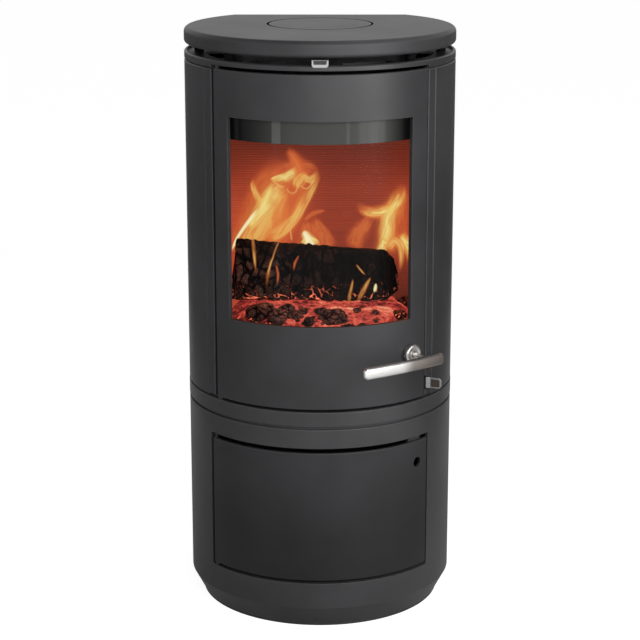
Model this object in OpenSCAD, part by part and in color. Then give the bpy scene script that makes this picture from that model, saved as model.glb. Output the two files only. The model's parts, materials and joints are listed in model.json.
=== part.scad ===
// Round-fronted cast iron wood stove on a storage pedestal, with a glazed door and a lit fire.
// Sizes are in millimetres. Z is up, the body's axis stands on the origin, and the front faces -Y.
// Angles are counted from the front in degrees, positive towards the right hand of someone who faces it.
// A radius without another centre is measured from the body's axis.

/* [Body] */
// Outer radius of the round casing
body_r = 221; // [214:1:226]
// Distance from the body's axis to its flat back
back_y = 163; // [158:1:168]
// Wall of the base, the side panels and the pillars
casing_wall = 6; // [5.5:0.5:6.5]
// How deep the seams between the castings are
seam_depth = 4; // [3:0.5:4.5]
// Width of the bevel along the outer edges
edge_bevel = 1.2; // [0.6:0.2:2]
// Gap of the seam above and below the side panels
panel_seam = 2; // [1:0.5:3]
// Gap between a pillar and its side panel
panel_joint = 1; // [0.6:0.2:1.6]
// Angle of the gap between the firebox door and a pillar
pillar_gap = 0.6; // [0.5:0.1:0.8]
// Angle at which a pillar ends
pillar_end = 55.3; // [55.2:0.1:55.5]

/* [Heights, counted up from the floor] */
// Thickness of the foot plate
foot_h = 4; // [3:0.5:6]
// Height of the groove between the base and the band
groove_h = 4; // [3:0.5:5]
// Height of the band casting's rim
band_h = 25; // [23:1:28]
// How far the band stands proud of the casing
band_over = 0.4; // [0.2:0.1:0.8]
// Gap under the firebox door
door_gap_low = 4; // [3:0.5:5]
// Height of the firebox door
door_h = 535; // [530:1:545]
// Gap over the firebox door
door_gap_top = 5.5; // [4.5:0.5:7]
// Height of the top ring's rim over the door
rim_h = 8.5; // [8:0.5:10]
// How far the top ring reaches down beside the door
ring_drop = 4.5; // [4:0.5:5]
// Height of the dark outlet gap under the top plate
outlet_h = 11; // [10:0.5:14]
// Thickness of the top plate
top_h = 26; // [22:1:30]

/* [Base] */
// Outer radius of the foot plate
foot_r = 202; // [197:1:206]
// Depth of the foot plate behind the body's axis
foot_back = 156; // [150:1:157]
// Outer radius at the bottom edge of the base
base_low_r = 203; // [200:1:209]
// Height of the taper under the base
taper_h = 34; // [28:1:40]
// Angle of the pedestal opening's left edge
opening_left = -54.2; // [-56:0.1:-54.1]
// Angle of the pedestal opening's right edge
opening_right = 53.4; // [53.2:0.1:55]
// Height of the pedestal opening's sill
sill_z = 81; // [78:1:84]
// Height of the casing above the pedestal opening
lintel_h = 32; // [29:1:36]
// Thickness of the storage floor
storage_floor_h = 5; // [4:0.5:7]
// Radius of a levelling screw
foot_screw_r = 5; // [4:0.5:6]
// Length of a levelling screw
foot_screw_h = 34; // [26:1:40]
// Distance of the levelling screws from the body's axis, to the side
foot_screw_x = 110; // [100:1:120]
// Distance of the levelling screws from the body's axis, to the front and back
foot_screw_y = 120; // [110:1:124]

/* [Storage door] */
// Angle of the storage door's left edge
store_left = -53.3; // [-53.6:0.1:-53]
// Angle of the storage door's right edge
store_right = 52.5; // [51:0.1:52.7]
// Gap between the sill and the storage door
store_gap_low = 5; // [4:0.5:6]
// Height of the storage door
store_h = 219; // [212:1:224]
// Gap between the storage door and the casing above it
store_gap_top = 8; // [7:0.5:9]
// Wall of the storage door
store_wall = 5.5; // [5.5:0.5:6]
// Radius of the round bead along its hinge edge
store_bead_r = 5; // [4.5:0.25:5.25]
// Radius of its hinge pins
store_pin_r = 2.5; // [2:0.25:2.75]
// Angle of the finger hole
finger_a = 46.1; // [44:0.1:48]
// Height of the finger hole over the storage door's lower edge
finger_z = 182; // [170:1:195]
// Radius of the finger hole
finger_r = 8.5; // [7:0.5:10]

/* [Firebox door] */
// Half of the angle that the firebox door covers
door_half = 50; // [49.8:0.1:50.2]
// Wall of the firebox door
door_wall = 7; // [6.5:0.5:7.5]
// Radius of the round bead along its hinge edge
bead_r = 6; // [5.5:0.25:6.25]
// Radius of its hinge pins
pin_r = 3; // [2.5:0.25:3.5]
// Radial clearance of everything that turns
run_gap = 0.05; // [0.02:0.01:0.08]
// Clearance of pieces that sit beside each other
seat_gap = 0.2; // [0.1:0.05:0.3]
// Half of the angle of the window
window_half = 41; // [39.5:0.1:41.2]
// Height of the window's lower edge over the door's lower edge
window_z = 136; // [132:1:140]
// Height of the window
window_h = 326; // [318:1:332]
// Thickness of the glass
glass_t = 4; // [3:0.5:4.5]
// How far the glass reaches past the window's lower and upper edge
glass_lap = 14; // [10:1:16]
// Half of the angle of the glass
glass_half = 43.6; // [43:0.1:43.8]
// Thickness of the tape between glass and door
tape_t = 0.6; // [0.4:0.1:0.8]
// Half of the angle between the upright runs of the door's rope seal
rope_half = 45.8; // [45.7:0.1:46]

/* [Handle] */
// Angle of the handle's spindle
handle_a = 41; // [40.5:0.1:41.5]
// Height of the spindle over the door's lower edge
handle_z = 79; // [76:1:80]
// Radius of the spindle
spindle_r = 4.3; // [4:0.1:5]
// Length of the bar to the left of the spindle
bar_long = 138; // [120:1:145]
// Length of the bar to the right of the spindle
bar_short = 21; // [18:1:26]
// Radius of the bar's own curve
bar_r = 700; // [600:10:900]
// Gap between the door and the bar, at the spindle
bar_gap = 49.5; // [44:0.5:56]
// Thickness of the bar
bar_t = 9; // [7:0.5:11]
// Height of the bar
bar_h = 18.5; // [16:0.5:21]
// Radius of the rosette
rosette_r = 16; // [14:0.5:18]
// How far the rosette stands out of the door
rosette_t = 10; // [8:0.5:12]
// Radius of the grub screw in the rosette
grub_r = 2; // [1.5:0.25:2.5]
// Width of the latch tongue
tongue_w = 20; // [16:1:22]
// Height of the latch tongue
tongue_h = 9; // [8:0.5:10]

/* [Firebox] */
// Gap between the door's wall and the front frame
frame_gap = 7.3; // [7:0.1:7.6]
// Wall of the front frame
frame_t = 3.5; // [3:0.25:4]
// How far the front frame ends below and above the door's edges
frame_inset = 6; // [5:0.5:7]
// Height of the frame's sill bar over the door's lower edge
sill_bar_rise = 62; // [60:1:64]
// Distance of the sill bar's top below the window
sill_bar_drop = 40; // [36:1:44]
// Wall of the steel firebox shell
shell_t = 3; // [2:0.5:3.5]
// Distance from the body's axis to the back of the firebox shell
shell_back = 118; // [116:1:124]
// Thickness of the side linings
side_lining_t = 17; // [14:1:19]
// Thickness of the back lining
back_lining_t = 25; // [20:1:28]
// Height of the firebox floor over the door's lower edge
hearth_rise = 85; // [82:1:87]
// Thickness of the firebox floor
hearth_t = 8; // [6:1:10]
// Distance of the firebox roof below the top ring
roof_drop = 16.5; // [14.5:0.5:20]
// Thickness of the firebox roof
roof_t = 4; // [3:0.5:5]
// Distance between the ribs of the linings
rib_pitch = 8; // [7.5:0.5:12]
// Depth of the grooves between the ribs
rib_depth = 2; // [1:0.5:3]
// Thickness of the baffle
baffle_t = 20; // [16:1:24]
// Distance of the baffle's back edge below the roof
baffle_drop = 145; // [138:1:152]
// Slope of the baffle, up towards the door
baffle_slope = 23; // [20:1:24]
// Length of the baffle along its slope
baffle_l = 210; // [190:1:220]
// Height of the log retainer
retainer_h = 35; // [25:1:38]
// Thickness of the log retainer
retainer_t = 4; // [3:0.5:6]

/* [Grate and ash pan] */
// Width of the grate
grate_w = 170; // [150:1:190]
// Depth of the grate
grate_d = 130; // [110:1:150]
// Distance of the grate's middle in front of the body's axis
grate_y = 20; // [15:1:25]
// Width of a grate bar, and of the slot beside it
grate_bar = 8; // [6:1:10]
// Width of the ash pan
pan_w = 200; // [180:1:206]
// Distance from the body's axis to the ash pan's front
pan_front = 150; // [144:1:154]
// Depth of the ash pan
pan_d = 210; // [190:1:216]
// Height of the ash pan
pan_h = 41; // [36:1:44]
// Wall of the ash pan
pan_wall = 2; // [1.5:0.5:3]
// Height of the rails under the ash pan
rail_h = 22.7; // [22.5:0.1:24]
// Width of a rail
rail_w = 14; // [10:1:18]

/* [Flue] */
// Outer radius of the flue collar
flue_r = 75; // [70:1:75]
// Wall of the flue collar
flue_wall = 3; // [2:0.5:4]
// Distance of the flue collar's axis below the roof
flue_drop = 77; // [76:1:80]
// How far the collar stands out of the flat back
flue_out = 27; // [20:1:50]
// Distance of the top outlet and its cover behind the body's axis
outlet_y = 20; // [16:1:24]
// Radius of the flue cover
cover_r = 85.5; // [83:0.5:88]
// Thickness of the flue cover
cover_t = 8; // [6:1:10]
// Gap round the flue cover
cover_gap = 1.2; // [0.6:0.1:1.4]
// Width of the ledge under the flue cover
cover_ledge = 5; // [4:1:7]

/* [Top] */
// How far the top plate reaches past the casing
top_over = 0.2; // [0:0.2:2]
// Radius of the top plate's upper edge
top_round = 8; // [5:1:10]
// Radius of the top plate's lower edge
top_round_low = 6; // [4:1:8]
// Width of the rim on the top ring
rim_w = 5; // [4:0.5:6]
// Thickness of the ring's web under the rim
web_t = 4; // [3:0.5:5]
// Radius of a spacer under the top plate
spacer_r = 8; // [6:1:10]

/* [Air controls] */
// Distance of the upper lever's pivot in front of the body's axis
lever_y = 75; // [72:1:80]
// Radius of the upper lever's pivot pin
lever_pin_r = 4; // [3:0.5:5]
// Thickness of the upper lever
lever_t = 3; // [2.5:0.5:3.5]
// Width of the upper lever's tab
lever_w = 26; // [20:1:28]
// Height of the tab's front lip
lip_h = 12; // [10:0.5:13]
// Angle at which the lower slide leaves the casing
slide_a = 50.95; // [50.9:0.05:51]
// Thickness of the lower slide
slide_t = 3; // [2:0.5:3.2]
// Height of the lower slide
slide_h = 18.5; // [16:0.5:20]
// Height of the lower slide's lower edge over the door's lower edge
slide_z = 13; // [11:0.5:15]
// Length of the slide's tab, past its bend
slide_tab = 20; // [16:1:24]
// Turn of the tab towards the front, from the sideways direction
slide_bend = 24; // [20:1:28]

/* [Rear] */
// Width of the air box
air_box_w = 112; // [108:1:124]
// Depth of the air box
air_box_d = 86; // [80:1:90]
// Height of the air box
air_box_h = 112; // [108:1:116]
// Outer radius of the outside-air spigot
spigot_r = 50; // [40:1:50]
// Wall of the air box and its spigot
duct_wall = 2; // [1.5:0.5:3]
// How far the spigot stands out of the flat back
spigot_out = 25; // [15:1:40]
// Height of a slot in the rear panel
slot_h = 90; // [70:1:100]
// Width of a slot in the rear panel
slot_w = 8; // [6:1:10]
// Radius of the heads of the rear panel's screws
screw_head_r = 5; // [4:0.5:6]
// Distance of those screws from the rear panel's edges
screw_margin = 18; // [14:1:22]

/* [Fire] */
// Length of the split log
log_l = 290; // [250:1:294]
// Height of the ember bed
ember_h = 45; // [40:1:50]
// Outer radius of the ember bed
ember_r = 150; // [140:1:160]

/* [Hidden] */

fine = 180;
small = 48;
cut = 1;
side_bevel = 0.8 * edge_bevel;
store_low = sill_z + store_gap_low;
store_top = store_low + store_h;
opening_top = store_top + store_gap_top;
opening_h = opening_top - sill_z;
base_top = opening_top + lintel_h;
band_low = base_top + groove_h;
band_top = band_low + band_h;
door_low = band_top + door_gap_low;
door_top = door_low + door_h;
rim_low = door_top + door_gap_top;
rim_top = rim_low + rim_h;
plate_low = rim_top + outlet_h;
total_h = plate_low + top_h;
hearth_z = door_low + hearth_rise;
hearth_low = hearth_z - hearth_t;
roof_z = rim_low - roof_drop;
baffle_z = roof_z - baffle_drop;
flue_z = roof_z - flue_drop;
wall_in = body_r - casing_wall;
seam_r = body_r - seam_depth;
door_in = body_r - door_wall;
frame_out = door_in - frame_gap;
frame_in = frame_out - frame_t;
shell_out = frame_in - seat_gap;
shell_in = shell_out - shell_t;
lining_out = shell_in - seat_gap;
lining_in = lining_out - side_lining_t;
pipe_y = shell_back - shell_t - seat_gap;
lining_front = pipe_y - back_lining_t;
rear_in = back_y - casing_wall;
flat_half = sqrt(pow(body_r, 2) - pow(back_y, 2));
far_round = 150;
ring_low = rim_low - ring_drop;
panel_low = band_top + panel_seam;
panel_top = ring_low - panel_seam;
full_low = band_top + seat_gap;
full_top = ring_low - seat_gap;
pillar_start = door_half + pillar_gap;
panel_start = pillar_end + asin(panel_joint / body_r);
hinge_r = body_r - bead_r;
hinge_a = -door_half + asin(bead_r / hinge_r);
store_in = body_r - store_wall;
store_hinge_r = body_r - store_bead_r;
store_hinge_a = store_left + asin(store_bead_r / store_hinge_r);
boss_r = store_bead_r - 0.3;
pin_hold = 15;
pin_reach = 20;
pin_short = 2;
window_low = door_low + window_z;
window_top = window_low + window_h;
glass_out = door_in - tape_t - seat_gap;
glass_in = glass_out - glass_t;
frame_half = door_half - 0.4;
gate_half = rope_half - 0.9;
frame_low = door_low + frame_inset;
frame_top = door_top - frame_inset;
sill_bar_low = door_low + sill_bar_rise;
sill_bar_top = window_low - sill_bar_drop;
rope_r = (door_in - frame_out) / 2 - seat_gap;
rope_mid = (door_in + frame_out) / 2;
rope_low = frame_low + rope_r + cut;
rope_top = frame_top - rope_r - frame_inset;
spindle_z = door_low + handle_z;
bar_in = body_r + bar_gap;
bar_out = bar_in + bar_t;
tongue_swing = 40;
keeper_h = tongue_w * sin(tongue_swing) + tongue_h * cos(tongue_swing) + 2 * seat_gap;
keeper_w = tongue_w + 2;
keeper_margin = 3;
keeper_half_w = keeper_w / 2 + keeper_margin;
keeper_out = sqrt(pow(frame_in, 2) - pow(keeper_half_w, 2)) - seat_gap;
keeper_t = 5;
keeper_in = keeper_out - keeper_t;
shell_half = max(gate_half + 0.4, handle_a + asin((keeper_half_w + 2 * seat_gap) / keeper_in));
shaft_end = door_in - frame_gap / 2;
slide_low = door_low + slide_z;
slide_notch = 2;
slide_play = 0.5;
slide_side = 6;
slide_corner = 3.5;
pan_low = band_top + rail_h + 0.3;
outlet_r = flue_r - 1;
web_low = rim_low;
web_top = web_low + web_t;
lever_drop = 2;
lever_z = plate_low - lever_drop - lever_t;
lever_reach = body_r + 1.6 - lever_y;
air_box_y = rear_in - seat_gap - air_box_d;
air_box_low = base_top - air_box_h - seat_gap;
air_box_z = air_box_low + air_box_h / 2;
pipe_step = 0.6;
log_x = -5;
log_y = -10;
log_z = hearth_z + ember_h + 0.5;

// Turns a profile, drawn as radius and height, about the body's axis from angle a0 to a1.
module turned(a0, a1) {
    rotate([0, 0, a0 - 90])
        rotate_extrude(angle = a1 - a0, $fn = fine)
            children();
}

// Moves and turns a child from the front's middle to the angle a, at the radius r.
module at(a, r, z = 0) {
    rotate([0, 0, a - 90])
        translate([r, 0, z])
            children();
}

// Lays a cylinder along the outward direction, from the radius r to r + l.
module radial_rod(rad, r, l, a, z) {
    at(a, r, z)
        rotate([0, 90, 0])
            cylinder(r = rad, h = l, $fn = small);
}

// Keeps the part of a child that lies in front of the plane Y = y.
module in_front_of(y) {
    intersection() {
        children();
        translate([-2 * body_r, y - 4 * body_r, -cut])
            cube([4 * body_r, 4 * body_r, 2 * total_h]);
    }
}

// A disc with a straight back edge.
module d_plate(r, y, z0, z1) {
    in_front_of(y)
        translate([0, 0, z0])
            cylinder(r = r, h = z1 - z0, $fn = fine);
}

// A wall on a round front and a straight back, open above and below.
module d_wall(r, y, t, z0, z1) {
    difference() {
        d_plate(r, y, z0, z1);
        d_plate(r - t, y - t, z0 - cut, z1 + cut);
    }
}

// A wedge from the body's axis that covers the front out to the angle half on each side.
module front_wedge(half, z0, z1) {
    reach = 1.2 * body_r / cos(half);
    translate([0, 0, z0])
        linear_extrude(z1 - z0)
            polygon([[0, 0], reach * [-sin(half), -cos(half)], reach * [sin(half), -cos(half)]]);
}

// A curved panel with bevels along its four outer edges; a bevel of 0 leaves an upright edge square.
module curved_panel(r0, r1, a0, a1, z0, z1, bevel0 = side_bevel, bevel1 = side_bevel) {
    b = edge_bevel;
    difference() {
        turned(a0, a1)
            polygon([[r0, z0], [r1 - b, z0], [r1, z0 + b], [r1, z1 - b], [r1 - b, z1], [r0, z1]]);
        for (side = [[a0, bevel0], [a1, bevel1]])
            if (side[1] > 0)
                at(side[0], r1, (z0 + z1) / 2)
                    rotate([0, 0, 45])
                        cube([side[1] * sqrt(2), side[1] * sqrt(2), z1 - z0 + 2 * cut], center = true);
    }
}

// A box whose faces look outward, sideways and up, centred at the angle a.
module radial_box(r0, r1, w, a, z0, z1) {
    at(a, r0, z0)
        translate([0, -w / 2, 0])
            cube([r1 - r0, w, z1 - z0]);
}

module foot_plate() {
    color("dimgray")
        difference() {
            d_plate(foot_r, foot_back, 0, foot_h);
            for (x = [-1, 1], y = [-1, 1])
                translate([x * foot_screw_x, y * foot_screw_y, -cut])
                    cylinder(r = foot_screw_r + run_gap, h = foot_h + 2 * cut, $fn = small);
        }
}

module levelling_screws() {
    color("silver")
        for (x = [-1, 1], y = [-1, 1])
            translate([x * foot_screw_x, y * foot_screw_y, 0]) {
                cylinder(r = foot_screw_r, h = foot_screw_h, $fn = small);
                translate([0, 0, foot_h + seat_gap])
                    cylinder(r = foot_screw_r * 1.8, h = foot_screw_r, $fn = 6);
            }
}

module base_casing() {
    bead_room = 2 * store_bead_r;
    color([0.22, 0.22, 0.23])
        difference() {
            union() {
                difference() {
                    in_front_of(back_y)
                        turned(-180, 180)
                            polygon([[0, foot_h], [base_low_r, foot_h], [body_r, foot_h + taper_h],
                                [body_r, base_top - edge_bevel], [body_r - edge_bevel, base_top],
                                [0, base_top]]);
                    in_front_of(rear_in)
                        turned(-180, 180)
                            polygon([[0, foot_h - cut], [base_low_r - casing_wall, foot_h - cut],
                                [base_low_r - casing_wall, foot_h], [wall_in, foot_h + taper_h],
                                [wall_in, base_top + cut], [0, base_top + cut]]);
                }
                at(store_hinge_a, store_hinge_r, sill_z - pin_hold)
                    cylinder(r = boss_r, h = opening_h + 2 * pin_hold, $fn = small);
            }
            turned(opening_left, opening_right)
                translate([wall_in - bead_room, sill_z])
                    square([casing_wall + bead_room + cut, opening_h]);
            at(store_hinge_a, store_hinge_r, sill_z - pin_hold - cut)
                cylinder(r = store_pin_r + run_gap, h = opening_h + 2 * pin_hold + 2 * cut, $fn = small);
            translate([0, 0, air_box_z])
                rotate([-90, 0, 0])
                    cylinder(r = spigot_r - pipe_step + seat_gap, h = back_y + cut, $fn = fine);
        }
}

module storage_floor() {
    color([0.2, 0.2, 0.2])
        difference() {
            d_plate(wall_in - seat_gap, rear_in - seat_gap, sill_z - storage_floor_h, sill_z);
            at(store_hinge_a, store_hinge_r, sill_z - storage_floor_h - cut)
                cylinder(r = store_bead_r + seat_gap, h = storage_floor_h + 2 * cut, $fn = small);
        }
}

module storage_door() {
    color([0.17, 0.17, 0.18])
        difference() {
            union() {
                curved_panel(store_in, body_r, store_hinge_a, store_right, store_low, store_top, 0);
                at(store_hinge_a, store_hinge_r, store_low)
                    rotate([0, 0, 180])
                        cylinder(r = store_bead_r, h = store_h, $fn = small);
            }
            for (z = [store_low - cut, store_top - pin_reach])
                at(store_hinge_a, store_hinge_r, z)
                    cylinder(r = store_pin_r + run_gap, h = pin_reach + cut, $fn = small);
            radial_rod(finger_r, store_in - 2 * cut, store_wall + 4 * cut, finger_a, store_low + finger_z);
        }
}

module storage_hinge_pins() {
    color("gainsboro")
        for (z = [[sill_z - pin_hold, store_low + pin_reach - pin_short],
            [store_top - pin_reach + pin_short, opening_top + pin_hold]])
            at(store_hinge_a, store_hinge_r, z[0])
                cylinder(r = store_pin_r, h = z[1] - z[0], $fn = small);
}

module storage_door_bush() {
    color("gainsboro")
        at(store_hinge_a, store_hinge_r, sill_z)
            difference() {
                cylinder(r = boss_r - seat_gap, h = store_gap_low - seat_gap, $fn = small);
                translate([0, 0, -cut])
                    cylinder(r = store_pin_r + run_gap, h = store_gap_low + cut, $fn = small);
            }
}

module storage_catch() {
    plate_w = 28;
    plate_t = 6;
    plate_out = wall_in - seat_gap - 1;
    plate_low = store_top - 8;
    plate_h = opening_top + lintel_h / 2 - plate_low;
    pad_w = 16;
    pad_h = 12;
    pad_out = sqrt(pow(store_in, 2) - pow(pad_w / 2, 2)) - 2 * seat_gap;
    color("silver")
        at(finger_a, 0) {
            translate([plate_out - plate_t, -plate_w / 2, plate_low])
                cube([plate_t, plate_w, plate_h]);
            translate([plate_out - cut, -pad_w / 2, plate_low + 1])
                cube([pad_out - plate_out + cut, pad_w, pad_h]);
        }
}

module air_box() {
    color("gray")
        difference() {
            union() {
                translate([-air_box_w / 2, air_box_y, air_box_low])
                    cube([air_box_w, air_box_d, air_box_h]);
                pipe(spigot_r, duct_wall, rear_in - 2 * duct_wall, spigot_out, air_box_z);
            }
            translate([duct_wall - air_box_w / 2, air_box_y + duct_wall, air_box_low + duct_wall])
                cube([air_box_w - 2 * duct_wall, air_box_d - 2 * duct_wall, air_box_h]);
            translate([0, rear_in - 3 * duct_wall, air_box_z])
                rotate([-90, 0, 0])
                    cylinder(r = spigot_r - duct_wall, h = back_y, $fn = fine);
        }
}

// The casting between the pedestal and the firebox part, with a way for outside air in its web.
module mid_band() {
    band_r = body_r + band_over;
    band_wall = 12;
    band_web = 8;
    way_w = 80;
    way_d = 25;
    way_y = shell_back - way_d - 13;
    color([0.25, 0.25, 0.26])
        difference() {
            in_front_of(back_y)
                turned(-180, 180)
                    polygon([[0, base_top], [seam_r, base_top], [seam_r, band_low],
                        [band_r - edge_bevel, band_low], [band_r, band_low + edge_bevel],
                        [band_r, band_top - edge_bevel], [band_r - edge_bevel, band_top], [0, band_top]]);
            d_plate(body_r - band_wall, back_y - band_wall, base_top - cut, band_top - band_web);
            at(hinge_a, hinge_r, band_top - pin_hold)
                cylinder(r = pin_r + run_gap, h = pin_hold + cut, $fn = small);
            translate([-way_w / 2, way_y, band_top - band_web - cut])
                cube([way_w, way_d, band_web + 2 * cut]);
        }
}

// A narrow upright beside the door: a bevelled face over a core that runs from the band to the ring.
module pillar(side) {
    notch = 3;
    face_in = seam_r - 1;
    core_in = frame_out + 2.5;
    mirror([side < 0 ? 1 : 0, 0, 0]) {
        curved_panel(core_in, body_r, pillar_start, pillar_end, panel_low + notch, panel_top);
        turned(pillar_start, pillar_end)
            translate([core_in, full_low])
                square([face_in - core_in, full_top - full_low]);
    }
}

module left_pillar() {
    color([0.24, 0.24, 0.25])
        pillar(-1);
}

module right_pillar() {
    color([0.24, 0.24, 0.25])
        difference() {
            pillar(1);
            radial_box(frame_out, body_r + cut, slide_t + 2 * slide_notch, slide_a, slide_low - slide_notch,
                slide_low + slide_h + slide_notch);
        }
}

module side_panel(side) {
    mirror([side < 0 ? 1 : 0, 0, 0])
        in_front_of(rear_in - seat_gap) {
            curved_panel(wall_in, body_r, panel_start, far_round, panel_low, panel_top);
            turned(panel_start, far_round)
                translate([wall_in, full_low])
                    square([seam_r - wall_in, full_top - full_low]);
        }
}

module left_side_panel() {
    color([0.26, 0.26, 0.26])
        side_panel(-1);
}

module right_side_panel() {
    color([0.26, 0.26, 0.26])
        side_panel(1);
}

module rear_panel() {
    slots = 9;
    slot_pitch = 3 * slot_w;
    rows = 3;
    row_pitch = slot_h + 25;
    row_low = door_low + 40;
    color([0.2, 0.2, 0.2])
        difference() {
            intersection() {
                d_plate(body_r, back_y, full_low, full_top);
                translate([-body_r, rear_in, 0])
                    cube([2 * body_r, casing_wall, total_h]);
            }
            translate([0, 0, flue_z])
                rotate([-90, 0, 0])
                    cylinder(r = flue_r - pipe_step + seat_gap, h = back_y + cut, $fn = fine);
            for (row = [0 : rows - 1], i = [0 : slots - 1])
                translate([(i - (slots - 1) / 2) * slot_pitch - slot_w / 2, rear_in - cut, 0])
                    translate([0, 0, row_low + row * row_pitch])
                        cube([slot_w, casing_wall + 2 * cut, slot_h]);
        }
}

module rear_panel_screws() {
    color("dimgray")
        for (x = [-1, 1],
            z = [full_low + screw_margin, (full_low + full_top) / 2, full_top - screw_margin])
            translate([x * (flat_half - screw_margin), back_y, z])
                rotate([-90, 0, 0])
                    cylinder(r = screw_head_r, h = 3, $fn = small);
}

module firebox_shell() {
    color([0.3, 0.28, 0.27])
        difference() {
            d_wall(shell_out, shell_back, shell_t, full_low, roof_z);
            front_wedge(shell_half, full_low - cut, roof_z + cut);
            translate([0, 0, flue_z])
                rotate([-90, 0, 0])
                    cylinder(r = flue_r - pipe_step + seat_gap, h = back_y, $fn = fine);
            radial_box(shell_in - 2 * cut, shell_out + cut, slide_t + 2 * slide_play, slide_a,
                slide_low - slide_play, slide_low + slide_h + slide_play);
        }
}

// The frame that the door closes on, with its mouth, the ash pan's way and the latch's window cut out.
module front_frame() {
    header = 22;
    pan_way_half = 38;
    color([0.22, 0.21, 0.21])
        difference() {
            turned(-frame_half, frame_half)
                translate([frame_in, frame_low])
                    square([frame_t, frame_top - frame_low]);
            front_wedge(gate_half, sill_bar_top, frame_top - header);
            front_wedge(pan_way_half, frame_low + 2 * rope_r + 2 * cut, sill_bar_low);
            radial_box(frame_in - 2 * cut, frame_out + 2 * cut, keeper_w, handle_a, spindle_z - keeper_h / 2,
                spindle_z + keeper_h / 2);
        }
}

module firebox_floor() {
    latch_room = 14;
    color([0.3, 0.28, 0.27])
        difference() {
            d_plate(lining_out, pipe_y, hearth_low, hearth_z);
            translate([-grate_w / 2 - seat_gap, -grate_y - grate_d / 2 - seat_gap, hearth_low - cut])
                cube([grate_w + 2 * seat_gap, grate_d + 2 * seat_gap, hearth_t + 2 * cut]);
            radial_box(keeper_in - latch_room, body_r, 2 * keeper_half_w + 4, handle_a, hearth_low - cut,
                hearth_z + cut);
        }
}

module firebox_roof() {
    color([0.3, 0.28, 0.27])
        difference() {
            d_plate(shell_out, shell_back, roof_z, roof_z + roof_t);
            translate([0, outlet_y, roof_z - cut])
                cylinder(r = outlet_r, h = roof_t + 2 * cut, $fn = fine);
        }
}

// The plug of the unused top outlet: a disc that rests on the roof, with a neck in the roof's hole.
module top_outlet_cap() {
    cap_lap = 7;
    cap_t = 4;
    color([0.28, 0.28, 0.28])
        translate([0, outlet_y, 0])
            union() {
                translate([0, 0, roof_z + roof_t])
                    cylinder(r = outlet_r + cap_lap, h = cap_t, $fn = fine);
                translate([0, 0, roof_z])
                    cylinder(r = outlet_r - cut, h = roof_t + cut, $fn = fine);
            }
}

module flue_collar() {
    color([0.2, 0.2, 0.2])
        pipe(flue_r, flue_wall, pipe_y + seat_gap, flue_out, flue_z);
}

// A round pipe towards the back: a neck inside the body, and a wider free end behind the flat back.
module pipe(r, wall, from_y, out, z) {
    translate([0, 0, z])
        rotate([-90, 0, 0])
            difference() {
                union() {
                    translate([0, 0, from_y])
                        cylinder(r = r - pipe_step, h = back_y - from_y + cut, $fn = fine);
                    translate([0, 0, back_y + seat_gap])
                        cylinder(r = r, h = out - seat_gap, $fn = fine);
                }
                translate([0, 0, from_y - cut])
                    cylinder(r = r - wall, h = 2 * back_y, $fn = fine);
            }
}

module side_lining(side) {
    gas_way = 42;
    mirror([side < 0 ? 1 : 0, 0, 0])
        in_front_of(lining_front - seat_gap)
            turned(shell_half + 0.6, far_round)
                translate([lining_in, hearth_z])
                    square([side_lining_t, roof_z - gas_way - hearth_z]);
}

module left_lining() {
    color([0.5, 0.36, 0.27])
        side_lining(-1);
}

module right_lining() {
    color([0.5, 0.36, 0.27])
        side_lining(1);
}

module back_lining() {
    ribs = floor((baffle_z - hearth_z) / rib_pitch) - 1;
    groove_w = 0.3 * rib_pitch;
    top_room = 8;
    color([0.55, 0.38, 0.28])
        difference() {
            intersection() {
                d_plate(lining_out, pipe_y, hearth_z, roof_z - top_room);
                translate([-body_r, lining_front, 0])
                    cube([2 * body_r, back_lining_t, total_h]);
            }
            translate([0, 0, flue_z])
                rotate([-90, 0, 0])
                    cylinder(r = flue_r - flue_wall, h = back_y, $fn = fine);
            for (i = [1 : ribs])
                translate([-body_r, lining_front - cut, hearth_z + i * rib_pitch])
                    cube([2 * body_r, rib_depth + cut, groove_w]);
        }
}

module baffle() {
    color([0.5, 0.36, 0.27])
        intersection() {
            translate([0, 0, hearth_z])
                cylinder(r = lining_in - 2 * seat_gap, h = roof_z - hearth_z, $fn = fine);
            translate([0, lining_front - seat_gap, baffle_z])
                rotate([-baffle_slope, 0, 0])
                    translate([-body_r, -baffle_l, 0])
                        cube([2 * body_r, baffle_l, baffle_t]);
            translate([-body_r, -body_r, 0])
                cube([2 * body_r, body_r + lining_front - seat_gap, total_h]);
        }
}

module grate() {
    border = 12;
    bars = floor((grate_w - 2 * border) / (2 * grate_bar));
    color([0.25, 0.23, 0.22])
        translate([-grate_w / 2, -grate_y - grate_d / 2, hearth_low])
            difference() {
                cube([grate_w, grate_d, hearth_t]);
                for (i = [0 : bars - 1])
                    translate([grate_w / 2 + (2 * i - bars + 0.5) * grate_bar, border, -cut])
                        cube([grate_bar, grate_d - 2 * border, hearth_t + 2 * cut]);
            }
}

// A low curved fence that keeps the fire off the glass; it ends short of the latch on the right.
module log_retainer() {
    latch_gap = 6;
    setback = 10;
    color([0.22, 0.2, 0.2])
        turned(-window_half, window_half - latch_gap)
            translate([lining_out - setback - retainer_t, hearth_z])
                square([retainer_t, retainer_h]);
}

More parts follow.
